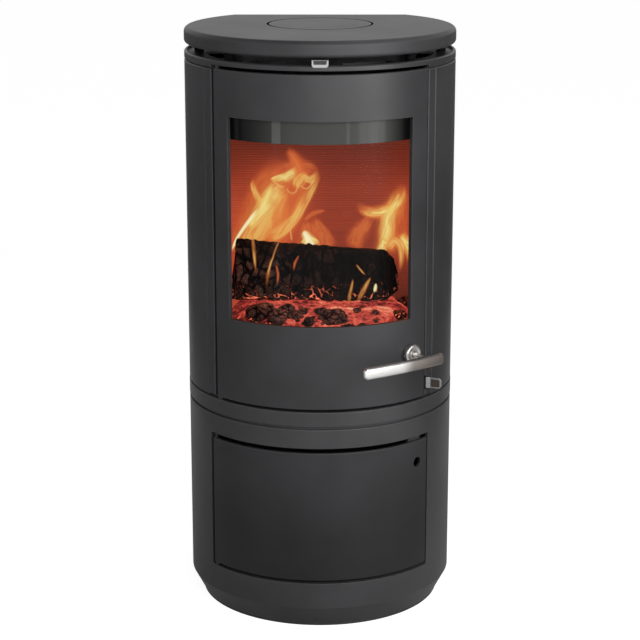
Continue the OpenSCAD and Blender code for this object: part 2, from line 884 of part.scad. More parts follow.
// A split log: bark outside, flat split faces, a top that falls to the right, and a slanted right end.
module fire_log() {
    slant = 10;
    slant_z = 60;
    fall = 3.5;
    log_h = 112;
    color([0.12, 0.09, 0.08])
        translate([log_x, log_y, log_z])
            difference() {
                rotate([90, 0, 90])
                    translate([0, 0, -log_l / 2])
                        linear_extrude(log_l)
                            polygon([[-42, 8], [-32, 0], [32, 0], [48, 16], [50, 46], [36, 80], [2, 104],
                                [-26, log_h], [-38, 100], [-48, 44]]);
                translate([log_l / 2, -body_r, slant_z])
                    rotate([0, -slant, 0])
                        cube([log_l / 4, 2 * body_r, log_l / 3]);
                translate([-log_l / 2 - cut, -body_r, log_h - cut])
                    rotate([0, fall, 0])
                        cube([log_l + 8 * cut, 2 * body_r, log_l / 3]);
            }
}

// A heap of embers with a steep foot and a sloping shoulder, clear of the back lining.
module ember_bed() {
    foot = 6;
    shoulder = 22;
    shoulder_z = hearth_z + 0.7 * ember_h;
    back_gap = 3;
    color([0.75, 0.25, 0.08])
        in_front_of(lining_front - back_gap)
            turned(-180, 180)
                polygon([[0, hearth_z], [ember_r, hearth_z], [ember_r - foot, shoulder_z],
                    [ember_r - shoulder, hearth_z + ember_h], [0, hearth_z + ember_h]]);
}

module ash_pan_rails() {
    color([0.28, 0.28, 0.28])
        for (side = [-1, 1])
            translate([side * (pan_w - rail_w) / 2 - rail_w / 2, -pan_front, band_top])
                cube([rail_w, pan_d, rail_h]);
}

module ash_pan() {
    grip_w = 60;
    grip_d = 8;
    grip_drop = 14;
    color([0.35, 0.35, 0.36])
        union() {
            difference() {
                translate([-pan_w / 2, -pan_front, pan_low])
                    cube([pan_w, pan_d, pan_h]);
                translate([pan_wall - pan_w / 2, pan_wall - pan_front, pan_low + pan_wall])
                    cube([pan_w - 2 * pan_wall, pan_d - 2 * pan_wall, pan_h]);
            }
            translate([-grip_w / 2, -pan_front - grip_d, pan_low + pan_h - grip_drop])
                cube([grip_w, grip_d + cut, grip_d]);
        }
}

module door_casting() {
    color([0.27, 0.27, 0.28])
        difference() {
            union() {
                curved_panel(door_in, body_r, hinge_a, door_half, door_low, door_top, 0);
                at(hinge_a, hinge_r, door_low)
                    rotate([0, 0, 180])
                        cylinder(r = bead_r, h = door_h, $fn = small);
            }
            turned(-window_half, window_half)
                translate([door_in - cut, window_low])
                    square([door_wall + 2 * cut, window_h]);
            for (z = [door_low - cut, door_top - pin_reach])
                at(hinge_a, hinge_r, z)
                    cylinder(r = pin_r + run_gap, h = pin_reach + cut, $fn = small);
            radial_rod(spindle_r + run_gap, door_in - 2 * cut, door_wall + 4 * cut, handle_a, spindle_z);
        }
}

module door_glass() {
    color([0.2, 0.2, 0.2, 0.35])
        turned(-glass_half, glass_half)
            translate([glass_in, window_low - glass_lap])
                square([glass_t, window_h + 2 * glass_lap]);
}

// The flat tape round the glass, open a little wider than the window.
module glass_tape() {
    side_room = 0.5;
    edge_room = 2;
    color([0.15, 0.15, 0.15])
        difference() {
            turned(-glass_half, glass_half)
                translate([glass_out + seat_gap / 2, window_low - glass_lap])
                    square([tape_t, window_h + 2 * glass_lap]);
            turned(-window_half - side_room, window_half + side_room)
                translate([glass_in, window_low - edge_room])
                    square([door_wall, window_h + 2 * edge_room]);
        }
}

// Four clips: a leaf behind the glass edge, and a foot beside it that stands on the door.
module glass_clips() {
    clip_h = 24;
    clip_t = 2.5;
    clip_place = 40;
    clip_start = window_half + 0.8;
    clip_end = gate_half - 0.2;
    color("silver")
        for (side = [0, 1], z = [window_low + clip_place, window_top - clip_place - clip_h])
            mirror([side, 0, 0]) {
                turned(clip_start, clip_end)
                    translate([glass_in - seat_gap - clip_t, z])
                        square([clip_t, clip_h]);
                turned(glass_half + 0.3, clip_end)
                    translate([glass_in - cut, z])
                        square([door_in - seat_gap / 2 - glass_in + cut, clip_h]);
            }
}

module door_rope() {
    color([0.12, 0.12, 0.12])
        union() {
            for (a = [-rope_half, rope_half])
                at(a, rope_mid, rope_low)
                    cylinder(r = rope_r, h = rope_top - rope_low, $fn = small);
            for (z = [rope_low, rope_top])
                turned(-rope_half, rope_half)
                    translate([rope_mid, z])
                        circle(r = rope_r, $fn = small);
            for (a = [-rope_half, rope_half], z = [rope_low, rope_top])
                at(a, rope_mid, z)
                    sphere(r = rope_r, $fn = small);
        }
}

module door_hinge_pins() {
    color("gainsboro")
        for (z = [[band_top - pin_hold + seat_gap, door_low + pin_reach - pin_short],
            [door_top - pin_reach + pin_short, web_top]])
            at(hinge_a, hinge_r, z[0])
                cylinder(r = pin_r, h = z[1] - z[0], $fn = small);
}

module door_bush() {
    color("gainsboro")
        at(hinge_a, hinge_r, band_top)
            difference() {
                cylinder(r = bead_r - 0.5, h = door_gap_low - seat_gap, $fn = small);
                translate([0, 0, -cut])
                    cylinder(r = pin_r + run_gap, h = door_gap_low + cut, $fn = small);
            }
}

// The gently curved bar, cut to round ends by an outline that looks along the spindle.
module handle_bar() {
    half = bar_h / 2;
    corner = 2;
    spare = 1;
    in_r = bar_r - bar_t;
    long_turn = asin(bar_long / bar_r) + spare;
    short_turn = asin(bar_short / bar_r) + spare;
    color("silver")
        at(handle_a, bar_out - bar_r, spindle_z)
            intersection() {
                rotate([0, 0, -long_turn])
                    rotate_extrude(angle = long_turn + short_turn, $fn = fine)
                        polygon([[in_r, corner - half], [in_r + corner, -half], [bar_r - corner, -half],
                            [bar_r, corner - half], [bar_r, half - corner], [bar_r - corner, half],
                            [in_r + corner, half], [in_r, half - corner]]);
                rotate([90, 0, 90])
                    linear_extrude(bar_r + cut)
                        union() {
                            translate([half - bar_long, -half])
                                square([bar_long + bar_short - bar_h, bar_h]);
                            for (y = [half - bar_long, bar_short - half])
                                translate([y, 0])
                                    circle(r = half, $fn = small);
                        }
            }
}

module handle_spindle() {
    color("silver")
        radial_rod(spindle_r, shaft_end, bar_in - seat_gap - shaft_end, handle_a, spindle_z);
}

// The inner end of the spindle, between the front frame's window and the door.
module latch_shaft() {
    shaft_start = keeper_out + cut;
    color("gray")
        radial_rod(spindle_r, shaft_start, shaft_end - shaft_start, handle_a, spindle_z);
}

// A round boss whose back follows the door's curve, with a small step round its face and a grub screw's hole.
module handle_rosette() {
    step = 1.5;
    sunk = 10;
    color("silver")
        difference() {
            union() {
                radial_rod(rosette_r, body_r - sunk, sunk + rosette_t - step, handle_a, spindle_z);
                radial_rod(rosette_r - step, body_r - sunk, sunk + rosette_t, handle_a, spindle_z);
            }
            cylinder(r = body_r + seat_gap / 4, h = total_h, $fn = fine);
            radial_rod(spindle_r + run_gap, door_in, 2 * rosette_t + door_wall, handle_a, spindle_z);
            at(handle_a, body_r + 0.6 * rosette_t, spindle_z)
                rotate([90, 0, 0])
                    translate([0, 0, rosette_r / 2])
                        cylinder(r = grub_r + run_gap, h = rosette_r, $fn = small);
        }
}

module rosette_grub_screw() {
    color("gray")
        at(handle_a, body_r + 0.6 * rosette_t, spindle_z)
            rotate([90, 0, 0])
                translate([0, 0, rosette_r / 2 + seat_gap])
                    cylinder(r = grub_r, h = rosette_r / 2 + 1.5, $fn = small);
}

module latch_tongue() {
    color("gray")
        at(handle_a, keeper_in, spindle_z)
            rotate([90, 0, 90])
                difference() {
                    linear_extrude(keeper_t + cut)
                        union() {
                            translate([(tongue_h - tongue_w) / 2, -tongue_h / 2])
                                square([tongue_w - tongue_h, tongue_h]);
                            for (x = [-1, 1])
                                translate([x * (tongue_w - tongue_h) / 2, 0])
                                    circle(r = tongue_h / 2, $fn = small);
                        }
                    translate([0, 0, keeper_t + cut - 0.1])
                        cylinder(r = spindle_r, h = cut, $fn = small);
                }
}

module latch_keeper() {
    half_h = keeper_h / 2;
    lip = 1;
    color("gray")
        difference() {
            radial_box(keeper_in, keeper_out, 2 * keeper_half_w, handle_a, spindle_z - half_h - lip,
                spindle_z + half_h + lip);
            radial_box(keeper_in - cut, keeper_out + cut, keeper_w, handle_a, spindle_z - half_h,
                spindle_z + half_h);
        }
}

// The offset of a bend between the directions a0 and a1, for a strip of half the thickness t.
function miter(a0, a1, t) = t / cos((a1 - a0) / 2) * [-sin((a0 + a1) / 2), cos((a0 + a1) / 2)];

// A bent strip: straight outward through the casing, then sideways, then turned towards the front.
module primary_air_slide() {
    inside = 46;
    turn = [0, 90 - slide_a, 90 - slide_a - slide_bend];
    start = [shell_in - inside, 0];
    leave = [body_r + 2, 0];
    bend = leave + slide_side * [cos(turn[1]), sin(turn[1])];
    end = bend + slide_tab * [cos(turn[2]), sin(turn[2])];
    h = slide_t / 2;
    left = [start + miter(0, 0, h), leave + miter(0, turn[1], h), bend + miter(turn[1], turn[2], h),
        end + miter(turn[2], turn[2], h)];
    right = [end - miter(turn[2], turn[2], h), bend - miter(turn[1], turn[2], h),
        leave - miter(0, turn[1], h), start - miter(0, 0, h)];
    color("silver")
        at(slide_a, 0, slide_low)
            difference() {
                linear_extrude(slide_h)
                    polygon(concat(left, right));
                for (z = [0, slide_h])
                    translate([end[0], end[1], z])
                        rotate([0, 0, turn[2]])
                            rotate([0, 45, 0])
                                cube([slide_corner * sqrt(2), 2 * slide_t, slide_corner * sqrt(2)],
                                    center = true);
            }
}

module air_slide_guide() {
    block = 10;
    color("gray")
        difference() {
            radial_box(lining_out - block - cut, lining_out - cut, slide_t + block, slide_a, band_top,
                slide_low + slide_h + block / 2);
            radial_box(lining_out - 2 * block, body_r, slide_t + 0.6, slide_a, slide_low - 0.3,
                slide_low + slide_h + 0.3);
        }
}

// The ring casting: a rim round the outside, and a web that holds the spacers and lets warm air through.
module top_ring() {
    b = 2.5;
    step = 2;
    vent_w = 28;
    vent_in = lining_in - 24;
    side_vents = [-112, -72, 72, 112];
    front_vents = [-26, 26];
    color([0.3, 0.3, 0.31])
        difference() {
            in_front_of(back_y)
                turned(-180, 180)
                    polygon([[0, web_low], [body_r - rim_w - step, web_low],
                        [body_r - rim_w - step, ring_low], [body_r - edge_bevel, ring_low],
                        [body_r, ring_low + edge_bevel], [body_r, rim_top - b],
                        [body_r - b * 0.4, rim_top - b * 0.4], [body_r - b, rim_top],
                        [body_r - rim_w, rim_top], [body_r - rim_w, web_top], [0, web_top]]);
            turned(-pillar_start, pillar_start)
                translate([body_r - rim_w - 2 * step, ring_low - cut])
                    square([rim_w + 2 * step + cut, rim_low - ring_low + cut]);
            translate([0, outlet_y, web_low - cut])
                cylinder(r = cover_r - cut, h = web_t + 2 * cut, $fn = fine);
            for (a = concat(side_vents, front_vents))
                turned(a - vent_w / 2, a + vent_w / 2)
                    translate([vent_in, web_low - cut])
                        square([vent_w, web_t + 2 * cut]);
            at(hinge_a, hinge_r, web_low - cut)
                cylinder(r = pin_r + run_gap, h = rim_h + 2 * cut, $fn = small);
        }
}

module top_spacers() {
    outer = lining_in + 14;
    inner = lining_in - 10;
    places = [[-125, inner], [-90, outer], [-46, outer], [46, outer], [90, outer], [125, inner]];
    color("gray")
        for (place = places)
            at(place[0], place[1], web_top)
                cylinder(r = spacer_r, h = plate_low - web_top, $fn = small);
}

// The section of the top plate: a rounded edge at the distance r from the middle, and a square one at -front.
module plate_section(r, front) {
    h = top_h;
    steps = 7;
    turn = 90 / steps;
    polygon([[-front, 0], [r - top_round_low, 0],
        for (i = [1 : steps])
            [r - top_round_low * (1 - sin(i * turn)), top_round_low * (1 - cos(i * turn))],
        for (i = [0 : steps])
            [r - top_round * (1 - cos(i * turn)), h - top_round * (1 - sin(i * turn))],
        [-front, h]]);
}

module top_plate() {
    color([0.42, 0.42, 0.43])
        difference() {
            intersection() {
                translate([0, 0, plate_low])
                    rotate_extrude($fn = fine)
                        plate_section(body_r + top_over, 0);
                translate([-body_r * 1.5, 0, plate_low])
                    rotate([90, 0, 90])
                        linear_extrude(3 * body_r)
                            plate_section(back_y + 1.5, 2 * body_r);
            }
            translate([0, outlet_y, plate_low - cut])
                cylinder(r = cover_r - cover_ledge, h = top_h + 2 * cut, $fn = fine);
            translate([0, outlet_y, total_h - cover_t])
                cylinder(r = cover_r + cover_gap, h = cover_t + cut, $fn = fine);
        }
}

module flue_cover() {
    b = 0.8;
    color([0.42, 0.42, 0.43])
        translate([0, outlet_y, 0])
            rotate_extrude($fn = fine)
                polygon([[0, total_h - cover_t], [cover_r, total_h - cover_t], [cover_r, total_h - b],
                    [cover_r - b, total_h], [0, total_h]]);
}

// The upper lever: an eye round its pivot, an arm, and a wider tab whose lip hangs in front of the ring.
module top_air_lever() {
    lip_t = 2.5;
    eye_r = 3 * lever_pin_r;
    arm_w = lever_w / 2;
    tab_l = 22;
    color("silver")
        translate([0, -lever_y, lever_z])
            difference() {
                union() {
                    cylinder(r = eye_r, h = lever_t, $fn = small);
                    translate([-arm_w / 2, -lever_reach, 0])
                        cube([arm_w, lever_reach, lever_t]);
                    translate([-lever_w / 2, -lever_reach, 0])
                        cube([lever_w, tab_l, lever_t]);
                    translate([-lever_w / 2, -lever_reach - lip_t, lever_t - lip_h])
                        cube([lever_w, lip_t + 0.01, lip_h]);
                }
                translate([0, 0, -cut])
                    cylinder(r = lever_pin_r + run_gap, h = lever_t + 2 * cut, $fn = small);
            }
}

module air_lever_pivot() {
    head_t = lever_drop - 0.5;
    lever_top = lever_z + lever_t;
    color("gray")
        translate([0, -lever_y, 0]) {
            translate([0, 0, web_top])
                cylinder(r = 2 * lever_pin_r, h = lever_z - web_top - seat_gap, $fn = small);
            translate([0, 0, web_top])
                cylinder(r = lever_pin_r, h = lever_top - web_top + cut, $fn = small);
            translate([0, 0, lever_top + seat_gap])
                cylinder(r = 1.7 * lever_pin_r, h = head_t, $fn = small);
        }
}

foot_plate();
levelling_screws();
base_casing();
storage_floor();
storage_door();
storage_hinge_pins();
storage_door_bush();
storage_catch();
air_box();
mid_band();
left_pillar();
right_pillar();
left_side_panel();
right_side_panel();
rear_panel();
rear_panel_screws();
firebox_shell();
front_frame();
firebox_floor();
firebox_roof();
top_outlet_cap();
flue_collar();
left_lining();
right_lining();
back_lining();
baffle();
grate();
log_retainer();
fire_log();
ember_bed();
ash_pan_rails();
ash_pan();
door_casting();
door_glass();
glass_tape();
glass_clips();
door_rope();
door_hinge_pins();
door_bush();
handle_bar();
handle_spindle();
latch_shaft();
handle_rosette();
rosette_grub_screw();
latch_tongue();
latch_keeper();
primary_air_slide();
air_slide_guide();
top_ring();
top_spacers();
top_plate();
flue_cover();
top_air_lever();
air_lever_pivot();
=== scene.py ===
"""The looks of a round-fronted cast iron wood stove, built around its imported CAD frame."""

import json
import logging
import math
import random
from dataclasses import dataclass, field
from enum import Enum
from typing import Any, Sequence

import bmesh
import bpy
from mathutils import Matrix, Vector, noise


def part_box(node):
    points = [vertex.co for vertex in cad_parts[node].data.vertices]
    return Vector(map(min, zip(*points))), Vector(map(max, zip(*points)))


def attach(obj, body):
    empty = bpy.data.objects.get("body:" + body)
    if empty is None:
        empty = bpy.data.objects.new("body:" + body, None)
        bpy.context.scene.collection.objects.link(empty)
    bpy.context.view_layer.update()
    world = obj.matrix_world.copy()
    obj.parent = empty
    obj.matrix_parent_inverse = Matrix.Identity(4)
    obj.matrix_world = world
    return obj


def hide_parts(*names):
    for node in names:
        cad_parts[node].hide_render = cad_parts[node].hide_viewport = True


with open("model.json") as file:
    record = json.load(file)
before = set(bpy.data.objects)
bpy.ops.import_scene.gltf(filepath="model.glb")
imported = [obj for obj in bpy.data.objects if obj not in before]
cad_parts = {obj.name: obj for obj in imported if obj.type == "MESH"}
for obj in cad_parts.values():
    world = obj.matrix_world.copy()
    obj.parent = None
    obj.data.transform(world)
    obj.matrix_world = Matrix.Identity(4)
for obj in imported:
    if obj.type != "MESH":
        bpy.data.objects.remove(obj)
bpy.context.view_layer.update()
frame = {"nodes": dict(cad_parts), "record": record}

# Two points of a mesh that lie closer than this, in metres, are one.
WELD = 1e-5
# The flames' lines are written in millimetres: this many of them make a metre.
MILLIMETRES = 1000.0
WHITE = (1.0, 1.0, 1.0)
BLACK = (0.0, 0.0, 0.0)
# The matt black of soot and of the painted shade in joints.
SOOT_AND_SHADE = (0.004, 0.004, 0.004)

log = logging.getLogger("stove")
Triple = tuple[float, float, float]
Colour = Triple
Stops = tuple[tuple[float, Colour], ...]
Mesh = bmesh.types.BMesh
Edge = bmesh.types.BMEdge
Face = bmesh.types.BMFace
Socket = bpy.types.NodeSocket
Material = bpy.types.Material


class Slot(Enum):
    """The record's material slots."""

    IRON = "cast_iron_paint"
    PLATE = "steel_plate"
    STAINLESS = "stainless"
    ZINC = "zinc_steel"
    LINING = "fire_lining"
    GLASS = "fire_glass"
    ROPE = "seal_rope"
    WOOD = "charred_wood"
    EMBERS = "embers"


class Value:
    """A number socket that takes part in Python expressions; each operator adds one Math node."""

    def __init__(self, shader: "Shader", socket: Socket) -> None:
        """Keeps the shader that new nodes go into, and the socket that the number comes from."""
        self.shader = shader
        self.socket = socket

    def maths(self, operation: str, *others: "Value | float") -> "Value":
        """Adds one Math node after this value, with what goes into its further inputs."""
        return self._node(operation, self, *others)

    def _node(self, operation: str, *inputs: "Value | float") -> "Value":
        """Adds one Math node, with what goes into its inputs."""
        node = self.shader.add("ShaderNodeMath", {"operation": operation}, dict(enumerate(inputs)))
        return Value(self.shader, node.outputs[0])

    def __add__(self, other: "Value | float") -> "Value":
        """The sum."""
        return self.maths("ADD", other)

    __radd__ = __add__

    def __sub__(self, other: "Value | float") -> "Value":
        """The difference."""
        return self.maths("SUBTRACT", other)

    def __rsub__(self, other: float) -> "Value":
        """A plain number less this value."""
        return self._node("SUBTRACT", other, self)

    def __mul__(self, other: "Value | float") -> "Value":
        """The product."""
        return self.maths("MULTIPLY", other)

    __rmul__ = __mul__

    def __truediv__(self, other: "Value | float") -> "Value":
        """The quotient."""
        return self.maths("DIVIDE", other)

    def __pow__(self, other: float) -> "Value":
        """This value raised to a power."""
        return self.maths("POWER", other)

    def size(self) -> "Value":
        """The value without its sign."""
        return self.maths("ABSOLUTE")

    def least(self, other: "Value | float") -> "Value":
        """The smaller of two values."""
        return self.maths("MINIMUM", other)

    def step(self, low: float, high: float) -> "Value":
        """A smooth step.

        Args:
            low: The value at which the step starts.
            high: The value at which it ends; a high under low turns the step over.

        Returns:
            0 before the step, 1 after it.
        """
        ends = {"From Min": min(low, high), "From Max": max(low, high)}
        if high < low:
            ends.update({"To Min": 1.0, "To Max": 0.0})
        settings = {"interpolation_type": "SMOOTHSTEP", "clamp": True}
        node = self.shader.add("ShaderNodeMapRange", settings, {"Value": self, **ends})
        return Value(self.shader, node.outputs["Result"])


def rgba(given: Any) -> Any:
    """A colour with an alpha of 1; a socket, number or value stays as it is."""
    return (*given, 1.0) if isinstance(given, tuple) and len(given) == 3 else given


def toned(colour: Colour, gain: float, lift: float = 0.0) -> Colour:
    """A colour multiplied by a gain and lifted, at most 1."""
    return tuple(min(1.0, part * gain + lift) for part in colour)


class Shader:
    """Builds the node tree of one material or of the world."""

    def __init__(self, name: str, owner: Any = None) -> None:
        """Makes an empty tree.

        Args:
            name: The new material's name.
            owner: What carries the tree, if it isn't a new material.
        """
        self.material = owner or bpy.data.materials.new(name)
        self.material.use_nodes = True
        self.tree = self.material.node_tree
        self.tree.nodes.clear()

    def add(self, kind: str, settings: dict[str, Any] | None = None,
            sockets: dict[str | int, Any] | None = None) -> bpy.types.Node:
        """Adds any node.

        Args:
            kind: The node's type.
            settings: Its own settings, set first; "stops" holds a ramp's (place, colour) pairs.
            sockets: Values or links by socket name or number.

        Returns:
            The node.
        """
        node = self.tree.nodes.new(kind)
        for key, setting in (settings or {}).items():
            if key == "stops":
                self._fill_ramp(node.color_ramp, setting)
            else:
                setattr(node, key, setting)
        for key, given in (sockets or {}).items():
            given = given.socket if isinstance(given, Value) else given
            if isinstance(given, Socket):
                self.tree.links.new(given, node.inputs[key])
            else:
                node.inputs[key].default_value = given
        return node

    @staticmethod
    def _fill_ramp(ramp: bpy.types.ColorRamp, stops: Stops) -> None:
        """Gives a ramp its stops.

        Args:
            ramp: The ramp.
            stops: Its (place, colour) pairs, in order.
        """
        while len(ramp.elements) < len(stops):
            ramp.elements.new(1.0)
        for element, (place, colour) in zip(ramp.elements, stops):
            element.position = place
            element.color = rgba(colour)

    def stretched(self, vector: Socket, scale: Triple) -> Socket:
        """A vector with each part multiplied by its own factor."""
        return self.add("ShaderNodeMapping", None, {"Vector": vector, "Scale": scale}).outputs[0]

    def place(self, scale: Triple | None = None) -> Socket:
        """Object coordinates, stretched by a scale if there is one."""
        source = self.add("ShaderNodeTexCoord").outputs["Object"]
        return self.stretched(source, scale) if scale else source

    def axes(self, vector: Socket) -> tuple[Value, ...]:
        """The three parts of a vector."""
        parts = self.add("ShaderNodeSeparateXYZ", None, {0: vector}).outputs
        return tuple(Value(self, part) for part in parts)

    def painted(self, layer: str) -> tuple[Value, ...]:
        """The three numbers that a piece's own vertex layer holds."""
        return self.axes(self.add("ShaderNodeAttribute", {"attribute_name": layer}).outputs["Vector"])

    def noise(self, scale: float, detail: float = 3.0, rough: float = 0.5, bend: float = 0.0,
              vector: Socket | None = None) -> Value:
        """A noise value.

        Args:
            scale: Waves per metre.
            detail: Octaves.
            rough: How strong the finer octaves are.
            bend: How far the pattern is distorted.
            vector: Where it is read; object coordinates if left out.

        Returns:
            Noise between about 0.2 and 0.8.
        """
        sockets = {"Vector": vector or self.place(), "Scale": scale, "Detail": detail, "Roughness": rough,
                   "Distortion": bend}
        return Value(self, self.add("ShaderNodeTexNoise", None, sockets).outputs[0])

    def cells(self, scale: float, feature: str = "F1") -> Value:
        """The distance output of a Voronoi pattern with so many cells per metre."""
        sockets = {"Vector": self.place(), "Scale": scale}
        node = self.add("ShaderNodeTexVoronoi", {"feature": feature}, sockets)
        return Value(self, node.outputs["Distance"])

    def ramp(self, value: Value, stops: Stops) -> Socket:
        """A colour that follows a value through a ramp's stops."""
        return self.add("ShaderNodeValToRGB", {"stops": stops}, {0: value}).outputs[0]

    def mix(self, share: Value, first: Any, second: Any, blend: str = "MIX") -> Socket:
        """Two colours mixed; the share is how much of the second shows."""
        settings = {"data_type": "RGBA", "blend_type": blend}
        return self.add("ShaderNodeMix", settings, {0: share, 6: rgba(first), 7: rgba(second)}).outputs[2]

    def bump(self, height: Value, strength: float, depth: float, normal: Socket | None = None) -> Socket:
        """A Bump node's normal.

        Args:
            height: The pattern, from 0 to 1.
            strength: How much of it shows.
            depth: Its real depth in metres.
            normal: The normal that it is laid over, if not the surface's own.

        Returns:
            The normal's socket.
        """
        sockets = {"Height": height, "Strength": strength, "Distance": depth}
        if normal:
            sockets["Normal"] = normal
        return self.add("ShaderNodeBump", None, sockets).outputs[0]

    def ray(self, kind: str) -> Value:
        """1 for rays of one of the Light Path node's kinds."""
        return Value(self, self.add("ShaderNodeLightPath").outputs[f"Is {kind} Ray"])

    def seen(self) -> Value:
        """1 for rays that come from the camera, a mirror or a glass."""
        direct = self.ray("Camera").maths("MAXIMUM", self.ray("Glossy"))
        return direct.maths("MAXIMUM", self.ray("Transmission"))

    def matt(self, colour: Any) -> Socket:
        """A matt surface of a colour."""
        return self.add("ShaderNodeBsdfDiffuse", None, {"Color": rgba(colour)}).outputs[0]

    def blend(self, share: Value, first: Socket, second: Socket) -> Socket:
        """Two surfaces mixed; the share is how much of the second shows."""
        return self.add("ShaderNodeMixShader", None, {0: share, 1: first, 2: second}).outputs[0]

    def output(self, surface: Socket, kind: str = "Material") -> Material:
        """Ends the tree with its surface, and gives back what carries the tree."""
        self.add(f"ShaderNodeOutput{kind}", None, {0: surface})
        return self.material

    def finish(self, soot_and_shade: Value | None = None, **sockets: Any) -> Material:
        """Adds the Principled BSDF and the output.

        Args:
            soot_and_shade: How much matt black covers the surface, soot and painted shade together, if any
                does.
            sockets: The shader's inputs, with _ for a space in each name.

        Returns:
            The finished material.
        """
        named = {key.replace("_", " "): rgba(given) for key, given in sockets.items()}
        surface = self.add("ShaderNodeBsdfPrincipled", None, named).outputs[0]
        if soot_and_shade:
            surface = self.blend(soot_and_shade, surface, self.matt(SOOT_AND_SHADE))
        return self.output(surface)


@dataclass(frozen=True)
class HeatPaint:
    """Dark satin heat paint over a casting or a plate: fine grain, faint clouds, lighter edges of rubbed
    wear and painted highlight.
    """

    name: str
    tone: Colour = (0.026, 0.026, 0.028)
    gloss: float = 0.40
    grain: float = 0.35
    grain_depth: float = 0.00025
    edge_wear_and_highlight: float = 1.0
    shine: float = 0.36
    cloud_waves: float = 7.0
    cast_waves: float = 420.0
    fine_waves: float = 1900.0
    rounding: float = 0.0014
    seam: Triple | None = None
    seam_half: float = 0.0024
    # A painted shade: the height where it begins, the lower height where it is full, and the tone that it
    # multiplies the colour by.
    shade: tuple[float, float] | None = None
    shade_tone: float = 0.55

    def build(self) -> Material:
        """Builds the paint; a painted shade darkens it from one height down to another.

        Returns:
            The material.
        """
        shader = Shader(self.name)
        clouds = shader.noise(self.cloud_waves, 4.0, 0.55)
        cast = shader.noise(self.cast_waves, 4.0, 0.6)
        fine = shader.noise(self.fine_waves, 2.0)
        round_normal = shader.add("ShaderNodeBevel", {"samples": 4}, {"Radius": self.rounding}).outputs[0]
        edge = self._edges(shader, round_normal)
        # The lighter edge colour is rubbed wear and a painted highlight on the edges together; the fine
        # specks take the same colour.
        wear_and_highlight = toned(self.tone, 2.6, 0.02)
        body = shader.mix(clouds.step(0.3, 0.7), toned(self.tone, 0.8), toned(self.tone, 1.28))
        speckled = shader.mix(fine.step(0.62, 0.72) * 0.18, body, wear_and_highlight)
        colour = shader.mix(edge * 0.6 * self.edge_wear_and_highlight, speckled, wear_and_highlight)
        # Painted shade: the colour grows darker towards the bottom, between the two heights.
        if self.shade:
            height = shader.axes(shader.place())[2]
            colour = shader.mix(height.step(*self.shade), colour, (self.shade_tone,) * 3, "MULTIPLY")
        # The joint's dark line is soot and painted shade together.
        line = self._joint_shade_line(shader) if self.seam else None
        rough = self.gloss + 0.1 * cast - 0.06 * clouds
        normal = shader.bump(cast * 0.7 + fine * 0.3, self.grain, self.grain_depth, round_normal)
        return shader.finish(line, Base_Color=colour, Roughness=rough, Normal=normal,
                             Specular_IOR_Level=self.shine)

    def _joint_shade_line(self, shader: Shader) -> Value:
        """The dark line along a round joint: soot, and the painted shade of the gap.

        Args:
            shader: The paint's shader.

        Returns:
            1 on the joint, 0 beside it.
        """
        x, y, _ = shader.axes(shader.place())
        middle_x, middle_y, radius = self.seam
        off = ((x - middle_x) ** 2.0 + (y - middle_y) ** 2.0) ** 0.5 - radius
        return off.size().step(self.seam_half, self.seam_half * 0.5)

    @staticmethod
    def _edges(shader: Shader, round_normal: Socket) -> Value:
        """How close a point lies to an outer edge.

        Args:
            shader: The paint's shader.
            round_normal: The Bevel node's normal.

        Returns:
            1 on the edge, 0 on a flat stretch.
        """
        plain = shader.add("ShaderNodeNewGeometry").outputs["Normal"]
        match = shader.add("ShaderNodeVectorMath", {"operation": "DOT_PRODUCT"}, {0: plain, 1: round_normal})
        return Value(shader, match.outputs["Value"]).step(0.992, 0.93)


@dataclass(frozen=True)
class Brushed:
    """Brushed bare metal: fine scratches along one axis, a soft cloudiness, and from some x on a brown
    painted reflection of the room.
    """

    name: str
    tone: Colour = (0.60, 0.585, 0.56)
    gloss: float = 0.24
    stretch: Triple = (60.0, 60.0, 1400.0)
    scratch_depth: float = 0.00006
    # The last three fields paint a reflection: between two x the colour turns to the brown of the room
    # reflected.
    reflection_from: float = 1.0
    reflection_to: float = 2.0
    heat: Colour = (0.30, 0.265, 0.245)

    def build(self) -> Material:
        """Builds the metal.

        Returns:
            The material.
        """
        shader = Shader(self.name)
        lines = shader.noise(1.0, 4.0, 0.6, vector=shader.place(self.stretch))
        clouds = shader.noise(45.0)
        bare_metal = shader.mix(lines.step(0.3, 0.7) * 0.6 + clouds * 0.3, toned(self.tone, 0.82), self.tone)
        x = shader.axes(shader.place())[0]
        # Painted reflection: from one x to the next the metal's colour turns brown.
        colour = shader.mix((x + 0.01 * (clouds - 0.5)).step(self.reflection_from, self.reflection_to), bare_metal, self.heat)
        rough = self.gloss + 0.14 * lines + 0.06 * clouds
        normal = shader.bump(lines, 0.22, self.scratch_depth)
        return shader.finish(Base_Color=colour, Roughness=rough, Metallic=1.0, Normal=normal)


@dataclass(frozen=True)
class Plated:
    """Zinc plated steel with a faint bluish mottle."""

    name: str = "zinc_plated"
    tone: Colour = (0.16, 0.16, 0.17)
    warmth: Colour = (0.86, 0.82, 0.72)

    def build(self) -> Material:
        """Builds the plating.

        Returns:
            The material.
        """
        shader = Shader(self.name)
        clouds = shader.noise(90.0, 3.0, 0.6)
        warm = tuple(part * share for part, share in zip(self.tone, self.warmth))
        colour = shader.mix(shader.cells(260.0).step(0.1, 0.8) * 0.5 + clouds * 0.3, self.tone, warm)
        normal = shader.bump(clouds, 0.2, 0.0001)
        return shader.finish(Base_Color=colour, Roughness=0.3 + 0.2 * clouds, Metallic=1.0, Normal=normal)


